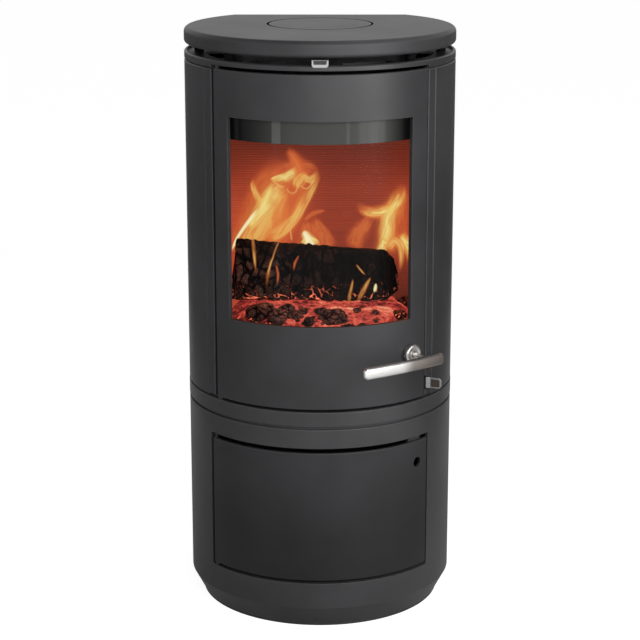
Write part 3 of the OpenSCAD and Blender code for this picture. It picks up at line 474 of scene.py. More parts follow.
@dataclass(frozen=True)
class FireLining:
    """Ribbed lining boards with the fire's light painted on as a glow: dark red, warmer low down, brighter
    painted pools behind the flames, and fine level lines.
    """

    name: str = "lining_painted_firelight"
    low: float = 0.46
    top: float = 0.76
    lean: float = 0.176
    back: float = 0.17
    line_pitch: float = 0.0042
    base: Colour = (0.014, 0.005, 0.004)
    painted_halo: Colour = (0.54, 0.080, 0.034)
    line_tone: Colour = (0.05, 0.010, 0.007)
    soot_tone: Colour = (0.07, 0.012, 0.008)
    stops: Stops = (
        (0.0, (0.10, 0.020, 0.012)), (0.17, (0.18, 0.028, 0.016)), (0.28, (0.25, 0.037, 0.018)),
        (0.47, (0.30, 0.043, 0.019)), (0.69, (0.28, 0.040, 0.019)), (0.80, (0.220, 0.031, 0.015)),
        (0.92, (0.150, 0.023, 0.012)), (1.0, (0.12, 0.019, 0.010)))

    def build(self) -> Material:
        """Builds the painted glow of the fire's light, which follows a level that leans back with the view
        through the window.

        Returns:
            The material.
        """
        shader = Shader(self.name)
        x, y, z = shader.axes(shader.place())
        level = z - (self.back - y) * self.lean
        clouds = shader.noise(11.0, 4.0, 0.6, 0.4)
        streaks = shader.noise(1.0, 4.0, 0.7, vector=shader.place((7.0, 7.0, 260.0)))
        line = ((z / self.line_pitch).maths("FRACT") - 0.5).size().step(0.20, 0.46)
        share = (level - self.low) / (self.top - self.low) + 0.10 * (clouds - 0.5)
        # The fire's light on the boards is painted as emission: a ramp by leaning height, painted pools of
        # light behind the flames, fine level lines painted darker as the shade in grooves, and soot streaks.
        warm = shader.mix(self._painted_halos(x, level), shader.ramp(share, self.stops), self.painted_halo)
        lined = shader.mix(line * (0.22 + 0.22 * level.step(0.62, 0.72)), warm, self.line_tone)
        soot_and_shade = shader.mix(streaks.step(0.50, 0.75) * 0.26, lined, self.soot_tone)
        shown = shader.mix(self._facing(shader, x, y), BLACK, soot_and_shade)
        normal = shader.bump(streaks * 0.5 + (1.0 - line) * 0.5, 0.4, 0.0008)
        return shader.finish(Base_Color=self.base, Roughness=0.85 + 0.1 * clouds, Normal=normal,
                             Specular_IOR_Level=0.05, Emission_Color=shown, Emission_Strength=1.05)

    @staticmethod
    def _painted_halos(x: Value, level: Value) -> Value:
        """The painted pools of firelight behind the left flame, at the left edge and behind the right flame.

        Args:
            x: The sideways place.
            level: The leaning height.

        Returns:
            How bright, from 0 to 1.
        """
        left = (x + 0.072).size().step(0.095, 0.010) * level.step(0.745, 0.66)
        edge = x.step(-0.110, -0.150) * level.step(0.70, 0.61)
        right = x.step(0.085, 0.150) * level.step(0.70, 0.62) * level.step(0.52, 0.56)
        return (left * 0.55 + edge * 0.75 + right * 0.55).least(1.0)

    @staticmethod
    def _facing(shader: Shader, x: Value, y: Value) -> Value:
        """1 on the faces that look at the fire, 0 on the backs and ends of the boards."""
        normal_x, normal_y, _ = shader.axes(shader.add("ShaderNodeTexCoord").outputs["Normal"])
        return (x * normal_x + y * normal_y).step(0.06, 0.02)


@dataclass(frozen=True)
class FireGlass:
    """Clear curved fire glass with a black printed band along its top, and the room's reflections painted on
    the band.
    """

    name: str = "fire_glass"
    band_low: float = 0.804
    band_soft: float = 0.0004
    clear: float = 0.035
    black: Colour = (0.003, 0.003, 0.003)
    # grey: the colour of the painted reflections on the band; the narrow ones follow.
    grey: Colour = (0.102, 0.104, 0.098)
    narrow: tuple[Triple, ...] = (
        (-0.655, 0.018, 0.10), (-0.325, 0.040, 1.45), (0.205, 0.018, 0.22), (0.40, 0.050, 0.10))

    def build(self) -> Material:
        """Builds the glass and its band.

        Returns:
            The material.
        """
        shader = Shader(self.name)
        x, y, z = shader.axes(shader.place())
        angle = x.maths("ARCTAN2", 0.0 - y)
        band = z.step(self.band_low - self.band_soft, self.band_low + self.band_soft)
        haze = shader.noise(30.0, 4.0, 0.6)
        # The band's colour: black print with the room's reflections painted on it in grey.
        shown = shader.mix(self._painted_reflections(angle), self.black, self.grey)
        alpha = band + (1.0 - band) * (self.clear + 0.02 * haze)
        return shader.finish(Base_Color=shown, Roughness=0.07 + 0.05 * haze, Alpha=alpha, IOR=1.5,
                             Specular_IOR_Level=0.08)

    def _painted_reflections(self, angle: Value) -> Value:
        """Painted reflections: the soft upright light streaks of the room, painted on the black band.

        Args:
            angle: The angle round the glass, 0 at the front.

        Returns:
            How light the band is: two broad rises, and the narrow streaks by (middle, half width, gain).
        """
        rise = angle.step(-0.68, -0.16) * 0.60
        second = angle.step(0.14, 0.32) * 0.05
        streaks = (rise + second) * angle.step(0.69, 0.42)
        for middle, half, gain in self.narrow:
            streaks = streaks + (angle - middle).size().step(half, half * 0.4) * gain
        return streaks.least(1.8)


@dataclass(frozen=True)
class Rope:
    """Black woven glass-fibre rope or tape."""

    name: str = "woven_rope"
    tone: Colour = (0.022, 0.022, 0.023)

    def build(self) -> Material:
        """Builds the weave.

        Returns:
            The material.
        """
        shader = Shader(self.name)
        weave = shader.cells(420.0)
        fibre = shader.noise(900.0, 3.0, 0.6)
        colour = shader.mix(weave.step(0.1, 0.7), toned(self.tone, 2.4), self.tone)
        normal = shader.bump(1.0 - weave, 0.8, 0.0012)
        return shader.finish(Base_Color=colour, Roughness=0.88 + 0.1 * fibre, Normal=normal)


@dataclass(frozen=True)
class Charcoal:
    """Burnt wood: brown ash on its plates, black cracks by a vertex layer, glowing cracks low down."""

    name: str
    glow_low: float
    glow_high: float
    foot: float = 0.0
    layer: str = "burn"
    ash: Colour = (0.044, 0.019, 0.013)
    char: Colour = (0.0022, 0.0016, 0.0016)
    glow: Colour = (1.0, 0.20, 0.10)
    glow_gain: float = 1.5
    ash_left: float = -0.03
    ash_least: float = 0.30

    def build(self) -> Material:
        """Builds the charcoal.

        Returns:
            The material.
        """
        shader = Shader(self.name)
        plate, bare, _ = shader.painted(self.layer)
        grain = shader.noise(260.0, 5.0, 0.75)
        patch = shader.noise(34.0, 4.0, 0.6, 0.6)
        x, _, z = shader.axes(shader.place())
        where = self.ash_least + (1.0 - self.ash_least) * x.step(self.ash_left, self.ash_left - 0.07)
        dusty = (0.25 + 0.75 * patch.step(0.36, 0.58)) * (0.30 + 0.70 * grain.step(0.36, 0.62))
        dust = plate.step(0.22, 0.7) * dusty * (1.0 - bare) * where
        veins = plate.step(0.15, 0.03) * z.step(self.glow_high, self.glow_low) * patch.step(0.42, 0.50)
        under = z.step(self.foot + 0.005, self.foot) * patch.step(0.30, 0.52)
        glow = shader.mix((veins + under).least(1.0), BLACK, self.glow)
        return shader.finish(Base_Color=shader.mix(dust, self.char, self.ash), Roughness=0.80 + 0.18 * grain,
                             Normal=shader.bump(grain, 0.9, 0.0022), Specular_IOR_Level=0.05,
                             Emission_Color=glow, Emission_Strength=self.glow_gain)


@dataclass(frozen=True)
class Embers:
    """Glowing embers: a rose-red heat with hot spots between dark, ashy crusts."""

    name: str = "glowing_embers"
    stops: Stops = (
        (0.45, (0.030, 0.009, 0.007)), (0.54, (0.17, 0.014, 0.013)), (0.62, (0.46, 0.045, 0.034)),
        (0.74, (0.74, 0.120, 0.070)), (0.90, (0.90, 0.42, 0.24)))
    ash: Colour = (0.02, 0.01, 0.008)
    dust: Colour = (0.07, 0.030, 0.022)
    log_front: float = -0.055

    def build(self) -> Material:
        """Builds the embers, a little hotter under the log's front and cooler at the left.

        Returns:
            The material.
        """
        shader = Shader(self.name)
        chunks = shader.cells(72.0, "DISTANCE_TO_EDGE")
        mottle = shader.noise(110.0, 5.0, 0.75, 0.8)
        patch = shader.noise(24.0)
        x, y, _ = shader.axes(shader.place())
        cool = x.step(-0.06, -0.15) * 0.10
        under = (y - self.log_front).size().step(0.016, 0.002) * 0.14
        heat = 0.84 * mottle + 0.50 * patch - 0.40 * chunks - cool + under
        return shader.finish(Base_Color=shader.mix(mottle, self.ash, self.dust), Roughness=0.9,
                             Normal=shader.bump(mottle, 0.8, 0.003), Specular_IOR_Level=0.05,
                             Emission_Color=shader.ramp(heat, self.stops), Emission_Strength=1.0)


class Heat(Enum):
    """How hot and how dense a tongue of flame is."""

    VEIL = "veil"
    WISP = "wisp"
    BODY = "body"
    CORE = "core"
    HOT = "hot"
    RIM = "rim"
    LICK = "lick"


@dataclass(frozen=True)
class Flame:
    """Flame light on a thin sheet: dense along the tongue's middle, it thins out softly to both sides."""

    name: str
    stops: Stops
    fill: float = 0.85
    soft: float = 1.0
    core: float = 0.30
    ragged: float = 0.45

    def build(self) -> Material:
        """Builds the flame's light and how much of what is behind it shows.

        Returns:
            The material.
        """
        shader = Shader(self.name)
        sheet = shader.add("ShaderNodeTexCoord").outputs["UV"]
        u, v, _ = shader.axes(sheet)
        flow = shader.stretched(sheet, (2.6, 1.1, 1.0))
        mixed = shader.add("ShaderNodeVectorMath", {"operation": "MULTIPLY_ADD"},
                           {0: shader.place(), 1: (9.0, 9.0, 9.0), 2: flow}).outputs[0]
        wave = shader.noise(1.8, 2.0, 0.5, 0.5, mixed) - 0.5
        streaks = shader.noise(2.4, 1.5, 0.5, 0.8, mixed)
        across = (u - 0.5 + 0.12 * wave).size() * 2.0
        profile = across.step(1.0, self.core) ** self.soft
        ends = v.step(0.0, 0.14) * v.step(1.0, 0.66)
        uneven = 1.0 - self.ragged + self.ragged * streaks.step(0.30, 0.66)
        dense = profile * uneven * ends
        alpha = (dense * self.fill * 1.25).least(self.fill)
        return shader.finish(Base_Color=BLACK, Roughness=1.0, Specular_IOR_Level=0.0, Alpha=alpha,
                             Emission_Color=shader.ramp(dense.least(1.0), self.stops), Emission_Strength=1.0)


class Finishes:
    """Every finish of the stove, each built once."""

    def __init__(self) -> None:
        """Builds the materials."""
        grey = (0.034, 0.034, 0.036)
        self.iron = HeatPaint("satin_iron_paint").build()
        joint = self._seam("flue_cover")
        # The top's seam is the dark line round the flue cover: soot and painted shade.
        self.top = HeatPaint("top_iron_paint", grey, gloss=0.44, shine=0.28, seam=joint).build()
        # The base, band and foot plate get a lighter, lit copy of the iron paint: painted light.
        self.base = HeatPaint("lit_base_iron_paint", grey, shine=0.42).build()
        # The low door's paint is a darker, shaded copy of the iron paint, with a painted shade low down.
        self.low_door = HeatPaint("shaded_low_door_paint", (0.024, 0.024, 0.026), shine=0.30,
                                  shade=(0.29, 0.14)).build()
        # Near-black paint: a painted shade for the spacers in the dark gap under the top plate and for the
        # firebox roof.
        self.black = HeatPaint("gap_shade_black_paint", (0.006, 0.006, 0.006), gloss=0.7, edge_wear_and_highlight=0.0,
                               shine=0.05).build()
        self.plate = HeatPaint("matt_plate_paint", grey, gloss=0.6, grain=0.2, edge_wear_and_highlight=0.6).build()
        self.inner = HeatPaint("inner_iron_paint", (0.030, 0.028, 0.028), gloss=0.62, edge_wear_and_highlight=0.4).build()
        self.stainless = Brushed("brushed_stainless").build()
        # The polished bar's right end takes the brown painted reflection.
        self.polished = Brushed("polished_stainless", (0.82, 0.81, 0.79), 0.20, reflection_from=0.128,
                                reflection_to=0.150).build()
        self.tinted = Brushed("heat_tinted_stainless", (0.085, 0.064, 0.056), 0.34).build()
        self.shaded = Brushed("shaded_stainless", (0.27, 0.27, 0.27), 0.34).build()
        # The lever's sunk field: dark stainless as painted shade.
        self.soot_and_shade = Brushed("painted_shade_stainless", (0.045, 0.045, 0.045), 0.42).build()
        self.zinc = Plated().build()
        self.lining = FireLining().build()
        self.glass = FireGlass().build()
        self.rope = Rope().build()
        self.wood = Charcoal("charred_log", 0.512, 0.548, foot=0.508, ash=(0.105, 0.050, 0.036)).build()
        self.coal = Charcoal("charred_coals", 0.488, 0.516, foot=0.2, ash=(0.215, 0.088, 0.068),
                             ash_left=1.0, ash_least=1.0).build()
        self.embers = Embers().build()
        self.flames = {heat: flame.build() for heat, flame in self._flames().items()}

    @staticmethod
    def _seam(node: str) -> Triple:
        """The middle (x, y) and the radius of the joint round a flat round node."""
        low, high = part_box(node)
        return (low.x + high.x) / 2, (low.y + high.y) / 2, (high.x - low.x) / 2

    @staticmethod
    def _flames() -> dict[Heat, Flame]:
        """The flame lights, from the thin dark red veil to the white-yellow streaks.

        Returns:
            One finish for each heat.
        """
        red = ((0.0, (0.58, 0.095, 0.032)), (0.5, (0.68, 0.125, 0.036)), (1.0, (0.76, 0.190, 0.048)))
        orange = ((0.0, (0.72, 0.160, 0.040)), (0.45, (0.79, 0.270, 0.060)), (0.8, (0.85, 0.440, 0.105)),
                  (1.0, (0.87, 0.560, 0.150)))
        yellow = ((0.0, (0.80, 0.290, 0.065)), (0.35, (0.86, 0.520, 0.135)), (0.75, (0.89, 0.700, 0.210)),
                  (1.0, (0.92, 0.790, 0.300)))
        white = ((0.0, (0.87, 0.560, 0.150)), (0.45, (0.95, 0.800, 0.340)), (1.0, (1.0, 0.930, 0.600)))
        thin = ((0.0, (0.74, 0.210, 0.050)), (0.5, (0.82, 0.350, 0.090)), (1.0, (0.90, 0.560, 0.190)))
        lick = ((0.0, (0.66, 0.130, 0.030)), (0.55, (0.86, 0.310, 0.065)), (1.0, (0.98, 0.620, 0.190)))
        return {
            Heat.VEIL: Flame("flame_veil", red, fill=0.66, core=0.25, soft=0.8, ragged=0.40),
            Heat.WISP: Flame("flame_wisp", red, fill=0.60, core=0.05, ragged=0.35),
            Heat.BODY: Flame("flame_body", orange, fill=0.74, core=0.22, ragged=0.40),
            Heat.CORE: Flame("flame_core", yellow, fill=0.80, core=0.05, ragged=0.40),
            Heat.HOT: Flame("flame_hot", white, fill=0.90, core=0.10, ragged=0.25),
            Heat.RIM: Flame("flame_rim", thin, fill=0.50, core=0.0, ragged=0.35),
            Heat.LICK: Flame("flame_lick", lick, fill=0.66, core=0.0, ragged=0.60),
        }


def dress(piece: bpy.types.Object, material: Material) -> None:
    """Gives an object one material in place of those it has."""
    piece.data.materials.clear()
    piece.data.materials.append(material)


def make_piece(name: str, mesh: Mesh, material: Material, body: str,
               stands_for: Sequence[str] = (), smooth: bool = True, second: Material | None = None) -> None:
    """Turns a bmesh into a finished piece.

    Args:
        name: The piece's name.
        mesh: Its shape, in place in the stove's frame; it is freed.
        material: Its finish.
        body: The body that it rides on.
        stands_for: The CAD nodes that it replaces.
        smooth: Whether its faces are shaded smooth.
        second: The finish of the faces whose material index is 1.
    """
    data = bpy.data.meshes.new(name)
    for face in mesh.faces:
        face.smooth = smooth
    mesh.to_mesh(data)
    mesh.free()
    data.materials.append(material)
    if second:
        data.materials.append(second)
    piece = bpy.data.objects.new(name, data)
    bpy.context.scene.collection.objects.link(piece)
    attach(piece, body)
    if stands_for:
        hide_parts(*stands_for)
    log.info("piece %s: %d faces, rides on %s", name, len(data.polygons), body)


def node_mesh(node: str) -> Mesh:
    """Copies a CAD node's shape.

    Args:
        node: The node's name.

    Returns:
        The copy, its doubled points merged.
    """
    mesh = bmesh.new()
    mesh.from_mesh(frame["nodes"][node].data)
    bmesh.ops.remove_doubles(mesh, verts=mesh.verts, dist=WELD)
    return mesh


def whole(mesh: Mesh) -> list[Any]:
    """Every vertex, edge and face of a mesh."""
    return [*mesh.verts, *mesh.edges, *mesh.faces]


def cut_off(mesh: Mesh, geom: Sequence[Any], place: Sequence[float],
            outwards: Sequence[float]) -> list[Edge]:
    """Cuts off what lies beyond a plane.

    Args:
        mesh: The mesh.
        geom: The part of it that is cut.
        place: A point of the plane.
        outwards: The side that goes.

    Returns:
        The edges round the open cut.
    """
    cut = bmesh.ops.bisect_plane(mesh, geom=geom, dist=1e-6, plane_co=place, plane_no=outwards,
                                 clear_outer=True)
    return [item for item in cut["geom_cut"] if isinstance(item, Edge)]


def slice_up(mesh: Mesh, along: Vector, length: float, parts: int) -> None:
    """Cuts a mesh round the origin into equal parts along a direction, and keeps them all.

    Args:
        mesh: The mesh.
        along: The direction.
        length: The mesh's length in it.
        parts: How many parts it is cut into.
    """
    for part in range(1, parts):
        place = along * (length * (part / parts - 0.5))
        bmesh.ops.bisect_plane(mesh, geom=whole(mesh), plane_co=place, plane_no=along)


def tidy_normals(mesh: Mesh, merge: float = 1e-6) -> None:
    """Merges doubled vertices and turns all faces outwards."""
    bmesh.ops.remove_doubles(mesh, verts=mesh.verts, dist=merge)
    bmesh.ops.recalc_face_normals(mesh, faces=mesh.faces)


def bevel(mesh: Mesh, edges: Sequence[Edge], width: float, segments: int) -> None:
    """Rounds the given edges."""
    bmesh.ops.bevel(mesh, geom=list(edges), offset=width, segments=segments, affect="EDGES", profile=0.5,
                    material=-1)


def sharp_edges(mesh: Mesh, limit: float) -> list[Edge]:
    """The edges whose faces meet at more than the limit in degrees."""
    limit = math.radians(limit)
    return [e for e in mesh.edges if len(e.link_faces) == 2 and e.calc_face_angle(0.0) > limit]


def stage_item(name: str, mesh: Mesh, material: Material) -> bpy.types.Object:
    """Turns a bmesh into something of the studio that isn't part of the stove.

    Args:
        name: Its name.
        mesh: Its shape in place; it is freed.
        material: Its finish.

    Returns:
        The object.
    """
    data = bpy.data.meshes.new(name)
    mesh.to_mesh(data)
    mesh.free()
    data.materials.append(material)
    item = bpy.data.objects.new(name, data)
    bpy.context.scene.collection.objects.link(item)
    return item


def hang_lamp(name: str, kind: str, place: Triple, watts: float) -> bpy.types.Object:
    """Hangs a lamp.

    Args:
        name: Its name.
        kind: Its type of light.
        place: Where it hangs.
        watts: Its power.

    Returns:
        The lamp's object.
    """
    data = bpy.data.lights.new(name, kind)
    data.energy = watts
    lamp = bpy.data.objects.new(name, data)
    lamp.location = place
    bpy.context.scene.collection.objects.link(lamp)
    return lamp


@dataclass
class Handle:
    """The door handle: a curved bar, its neck, the rosette on the door and the rosette's grub screw."""

    finishes: Finishes
    angle: float = math.radians(41.0)
    bar_r: float = 0.700
    corner: float = 0.0068
    edge: float = 0.0030
    crown: float = 0.0010
    screw_r: float = 0.0021
    screw_l: float = 0.0042
    stations: int = 36
    rows: int = 8
    steps: int = 56
    height: float = field(init=False)
    out: Vector = field(init=False)
    side: Vector = field(init=False)

    def __post_init__(self) -> None:
        """Reads the spindle's height from the frame, and turns its given angle into the directions out and
        to the side.
        """
        low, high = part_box("handle_spindle")
        self.height = (low.z + high.z) / 2
        self.out = Vector((math.sin(self.angle), -math.cos(self.angle), 0.0))
        self.side = Vector((math.cos(self.angle), math.sin(self.angle), 0.0))

    def build(self) -> None:
        """Makes the four pieces."""
        self.bar()
        self.neck()
        self.rosette()
        self.grub_screw()

    def bar(self) -> None:
        """The bar: a strip with rounded ends, softened edges and a crowned face, bent to its curve."""
        low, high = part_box("handle_bar")
        tall = high.z - low.z
        centre = self.out * (self._span("handle_bar", self.out)[1] - self.bar_r)
        node = frame["nodes"]["handle_bar"].data
        thick = self.bar_r - min(math.hypot(v.co.x - centre.x, v.co.y - centre.y) for v in node.vertices)
        left, right = (math.asin(reach / self.bar_r) for reach in self._span("handle_bar", self.side))
        length = (right - left) * self.bar_r
        mesh = bmesh.new()
        made = bmesh.ops.create_cube(mesh, size=1.0)
        bmesh.ops.scale(mesh, vec=(length, thick, tall), verts=made["verts"])
        ends = [e for e in mesh.edges if abs(e.verts[0].co.y - e.verts[1].co.y) > thick / 2]
        bevel(mesh, ends, self.corner, 10)
        bevel(mesh, sharp_edges(mesh, 50.0), self.edge, 6)
        slice_up(mesh, Vector((1, 0, 0)), length, self.stations)
        slice_up(mesh, Vector((0, 0, 1)), tall, self.rows)
        tidy_normals(mesh)
        for vert in mesh.verts:
            turn = (left + right) / 2 + vert.co.x / self.bar_r
            rise = self.crown * (1.0 - (2.0 * vert.co.z / tall) ** 2) * (vert.co.y / thick + 0.5)
            reach = self.bar_r - thick / 2 + vert.co.y - self.crown + rise
            flat = centre + reach * (self.out * math.cos(turn) + self.side * math.sin(turn))
            vert.co = Vector((flat.x, flat.y, self.height + vert.co.z))
        tidy_normals(mesh)
        make_piece("handle_bar_polished", mesh, self.finishes.polished, "handle",
                   ["handle_bar"])

    def neck(self) -> None:
        """The round neck, with a soft collar where it meets the bar."""
        low, high = self._span("handle_spindle", self.out)
        r = max(v.co.z for v in frame["nodes"]["handle_spindle"].data.vertices) - self.height
        mesh = self._lathe(((low, r), (high - 0.008, r), (high - 0.003, r * 1.2), (high + 0.0015, r * 1.5)))
        make_piece("handle_neck", mesh, self.finishes.stainless, "handle",
                   ["handle_spindle"])

    def rosette(self) -> None:
        """The rosette: a thick disc with a rounded rim and a shallow turned step in its face."""
        low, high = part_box("handle_rosette")
        back, face = self._span("handle_rosette", self.out)
        r = (high.z - low.z) / 2
        hole = r * 0.29
        mesh = self._lathe((
            (back, hole), (back, r), (face - 0.0022, r), (face - 0.0007, r - 0.0007), (face, r - 0.0022),
            (face, r - 0.0042), (face - 0.0007, r - 0.0050), (face - 0.0007, hole * 1.4),
            (face - 0.0003, hole * 1.2), (face - 0.0012, hole)))
        make_piece("rosette_disc", mesh, self.finishes.stainless, "door",
                   ["handle_rosette"])

    def grub_screw(self) -> None:
        """The grub screw's end with a round socket sunk into it, on the rosette's left side."""
        low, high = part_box("rosette_grub_screw")
        mesh = bmesh.new()
        bmesh.ops.create_cone(mesh, cap_ends=True, segments=24, radius1=self.screw_r, radius2=self.screw_r,
                              depth=self.screw_l)
        bevel(mesh, sharp_edges(mesh, 50.0), self.screw_r / 7, 2)
        top = max(mesh.faces, key=lambda f: f.calc_center_median().z)
        bmesh.ops.inset_region(mesh, faces=[top], thickness=self.screw_r / 3)
        bmesh.ops.translate(mesh, vec=(0, 0, -self.screw_r / 2), verts=top.verts)
        along = -self.side
        middle = (low + high) / 2
        reach = self._span("rosette_grub_screw", along)[1]
        tip = middle + along * (reach - middle.dot(along) - self.screw_l / 2)
        turn = along.to_track_quat("Z", "Y").to_matrix().to_4x4()
        bmesh.ops.transform(mesh, matrix=Matrix.Translation(tip) @ turn, verts=mesh.verts)
        make_piece("grub_screw_end", mesh, self.finishes.zinc, "door", ["rosette_grub_screw"],
                   smooth=False)

    @staticmethod
    def _span(node: str, along: Vector) -> tuple[float, float]:
        """The least and greatest distance of a node's points along a direction."""
        reach = [v.co.dot(along) for v in frame["nodes"][node].data.vertices]
        return min(reach), max(reach)

    def _lathe(self, profile: Sequence[tuple[float, float]]) -> Mesh:
        """Turns a profile about the spindle's axis.

        Args:
            profile: Its points, each a (distance outwards, radius) pair.

        Returns:
            The turned mesh, in place.
        """
        mesh = bmesh.new()
        verts = [mesh.verts.new((r, d, 0.0)) for d, r in profile]
        edges = [mesh.edges.new(pair) for pair in zip(verts, verts[1:])]
        bmesh.ops.spin(mesh, geom=[*verts, *edges], cent=(0, 0, 0), axis=(0, 1, 0), angle=math.tau,
                       steps=self.steps, use_merge=True)
        tidy_normals(mesh, WELD)
        turn = self.out.to_track_quat("Y", "Z").to_matrix().to_4x4()
        place = Matrix.Translation((0.0, 0.0, self.height)) @ turn
        bmesh.ops.transform(mesh, matrix=place, verts=mesh.verts)
        return mesh


@dataclass
class SplitLog:
    """The charred split log: a blunt wedge whose top falls to the right, its right end cut askew."""

    finishes: Finishes
    section: tuple[tuple[float, float], ...] = (
        (-0.041, 0.007), (-0.030, 0.001), (0.030, 0.001), (0.046, 0.016), (0.048, 0.046), (0.036, 0.078),
        (0.002, 0.101), (-0.025, 0.108), (-0.037, 0.097), (-0.046, 0.044))
    tall: float = 0.108
    corner: float = 0.005
    step: float = 0.0017
    rough: float = 0.0048
    fall: float = 0.20
    end_x: float = 0.118
    end_z: float = 0.06
    end_slope: float = 0.34
    end_lean: float = 0.12
    plates: Triple = (62.0, 30.0, 44.0)
    bare_from: float = 0.022
    bare_to: float = 0.078
    left_end: float = -0.149
    left_lean: float = 0.011
    rim: float = 0.0045
    cap_rings: int = 12
    cap_step: float = 0.003

    def build(self) -> None:
        """Makes the log."""
        low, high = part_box("fire_log")
        mesh = bmesh.new()
        first = self._outline(mesh, low, high)
        edges = first
        length = high.x - self.left_end
        rings = int(length / self.step)
        for _ in range(rings):
            made = bmesh.ops.extrude_edge_only(mesh, edges=edges)["geom"]
            verts = {item for item in made if isinstance(item, bmesh.types.BMVert)}
            edges = [item for item in made if isinstance(item, Edge) and all(v in verts for v in item.verts)]
            bmesh.ops.translate(mesh, vec=(length / rings, 0, 0), verts=list(verts))
        askew = Vector((1.0, -self.end_slope, self.end_lean)).normalized()
        cap = Vector((self.end_x, 0.0, low.z + self.end_z))
        rim = cut_off(mesh, whole(mesh), cap, askew)
        for loop in ([e for e in first if e.is_valid], rim):
            self._close(mesh, loop)
        tidy_normals(mesh, WELD)
        self._burn(mesh, low.z, cap, askew)
        make_piece("log_charred", mesh, self.finishes.wood, "root", ["fire_log"])

    def _outline(self, mesh: Mesh, low: Vector, high: Vector) -> list[Edge]:
        """Draws the section at the left end, finely divided.

        Args:
            mesh: Where it is drawn.
            low: The CAD log's lowest corner.
            high: Its highest corner.

        Returns:
            The section's edges.
        """
        middle_y = (low.y + high.y) / 2
        corners = [mesh.verts.new((self.left_end, middle_y + y, low.z + z)) for y, z in self.section]
        face = bmesh.ops.contextual_create(mesh, geom=corners)["faces"][0]
        bmesh.ops.bevel(mesh, geom=list(face.verts), offset=self.corner, segments=2, affect="VERTICES",
                        profile=0.5, material=-1)
        for edge in list(mesh.edges):
            cuts = int(edge.calc_length() / self.step)
            if cuts:
                bmesh.ops.subdivide_edges(mesh, edges=[edge], cuts=cuts)
        edges = list(mesh.edges)
        bmesh.ops.delete(mesh, geom=list(mesh.faces), context="FACES_ONLY")
        return edges

    def _close(self, mesh: Mesh, rim: list[Edge]) -> None:
        """Closes an end with rings of faces, so that it can be roughened.

        Args:
            mesh: The log.
            rim: The edges round the open end.
        """
        face = bmesh.ops.contextual_create(mesh, geom=rim)["faces"]
        for _ in range(self.cap_rings):
            bmesh.ops.inset_region(mesh, faces=face, thickness=self.cap_step)

    def _burn(self, mesh: Mesh, floor: float, cap: Vector, askew: Vector) -> None:
        """Moves every vertex by plates, cracks and grain, and paints how deep and how bare each place is.

        Args:
            mesh: The smooth log.
            floor: The height that it lies on.
            cap: A point of its right end.
            askew: The direction that its right end faces.
        """
        layer = mesh.verts.layers.float_vector.new("burn")
        left_rim = self.left_end + self.rim
        rim = [v for v in mesh.verts if abs((v.co - cap).dot(askew)) < self.rim or v.co.x < left_rim]
        for vert in mesh.verts:
            co = vert.co.copy()
            at_end = abs((co - cap).dot(askew)) < 1e-4
            wander = noise.noise_vector(co * 30.0) * 0.35 + noise.noise_vector(co * 110.0) * 0.22
            bent = Vector((co.x * self.plates[0], co.y * self.plates[1], co.z * self.plates[2])) + wander
            near = noise.voronoi(bent)[0]
            plate = min(1.0, (near[1] - near[0]) * 2.4)
            grain = noise.fractal(Vector((co.x * 40.0, co.y * 80.0, co.z * 80.0)), 0.9, 2.1, 4)
            lumps = noise.noise(Vector((co.x * 9.0, co.y * 22.0, co.z * 22.0)))
            bare = 1.0 if at_end else self._bare(co, floor)
            deep = self.rough * (0.75 * plate * (1.0 - 0.7 * bare) - 0.9 + 0.22 * grain + 0.45 * lumps)
            flat = vert.normal - askew * vert.normal.dot(askew)
            along = flat.normalized() if at_end and flat.length > 0.2 else vert.normal
            vert.co += along * deep
            share = (co.x - self.left_end) / (self.end_x - self.left_end)
            vert.co.z = floor + (vert.co.z - floor) * (1.0 + self.fall * (0.18 - share))
            vert.co.x += self.left_lean * (vert.co.z - floor) / self.tall * max(0.0, 1.0 - 5.0 * share)
            vert[layer] = Vector((plate, bare, 0.0))
        for _ in range(4):
            bmesh.ops.smooth_vert(mesh, verts=rim, factor=0.5, use_axis_x=True, use_axis_y=True,
                                  use_axis_z=True)

    def _bare(self, place: Vector, floor: float) -> float:
        """How far a place is burnt to smooth black: one patch of the front, and the top.

        Args:
            place: The place on the smooth log.
            floor: The height that the log lies on.

        Returns:
            0 where ash covers it, 1 where it is bare.
        """
        rise = (place.z - floor) / self.tall
        edge = min(place.x - self.bare_from, self.bare_to - place.x)
        inside = min(1.0, max(0.0, edge / 0.012))
        patch = inside * min(1.0, max(0.0, (rise - 0.30) / 0.12))
        top = min(1.0, max(0.0, (rise - 0.80 + 0.25 * noise.noise(place * 40.0)) / 0.15))
        return max(patch, 0.85 * top)


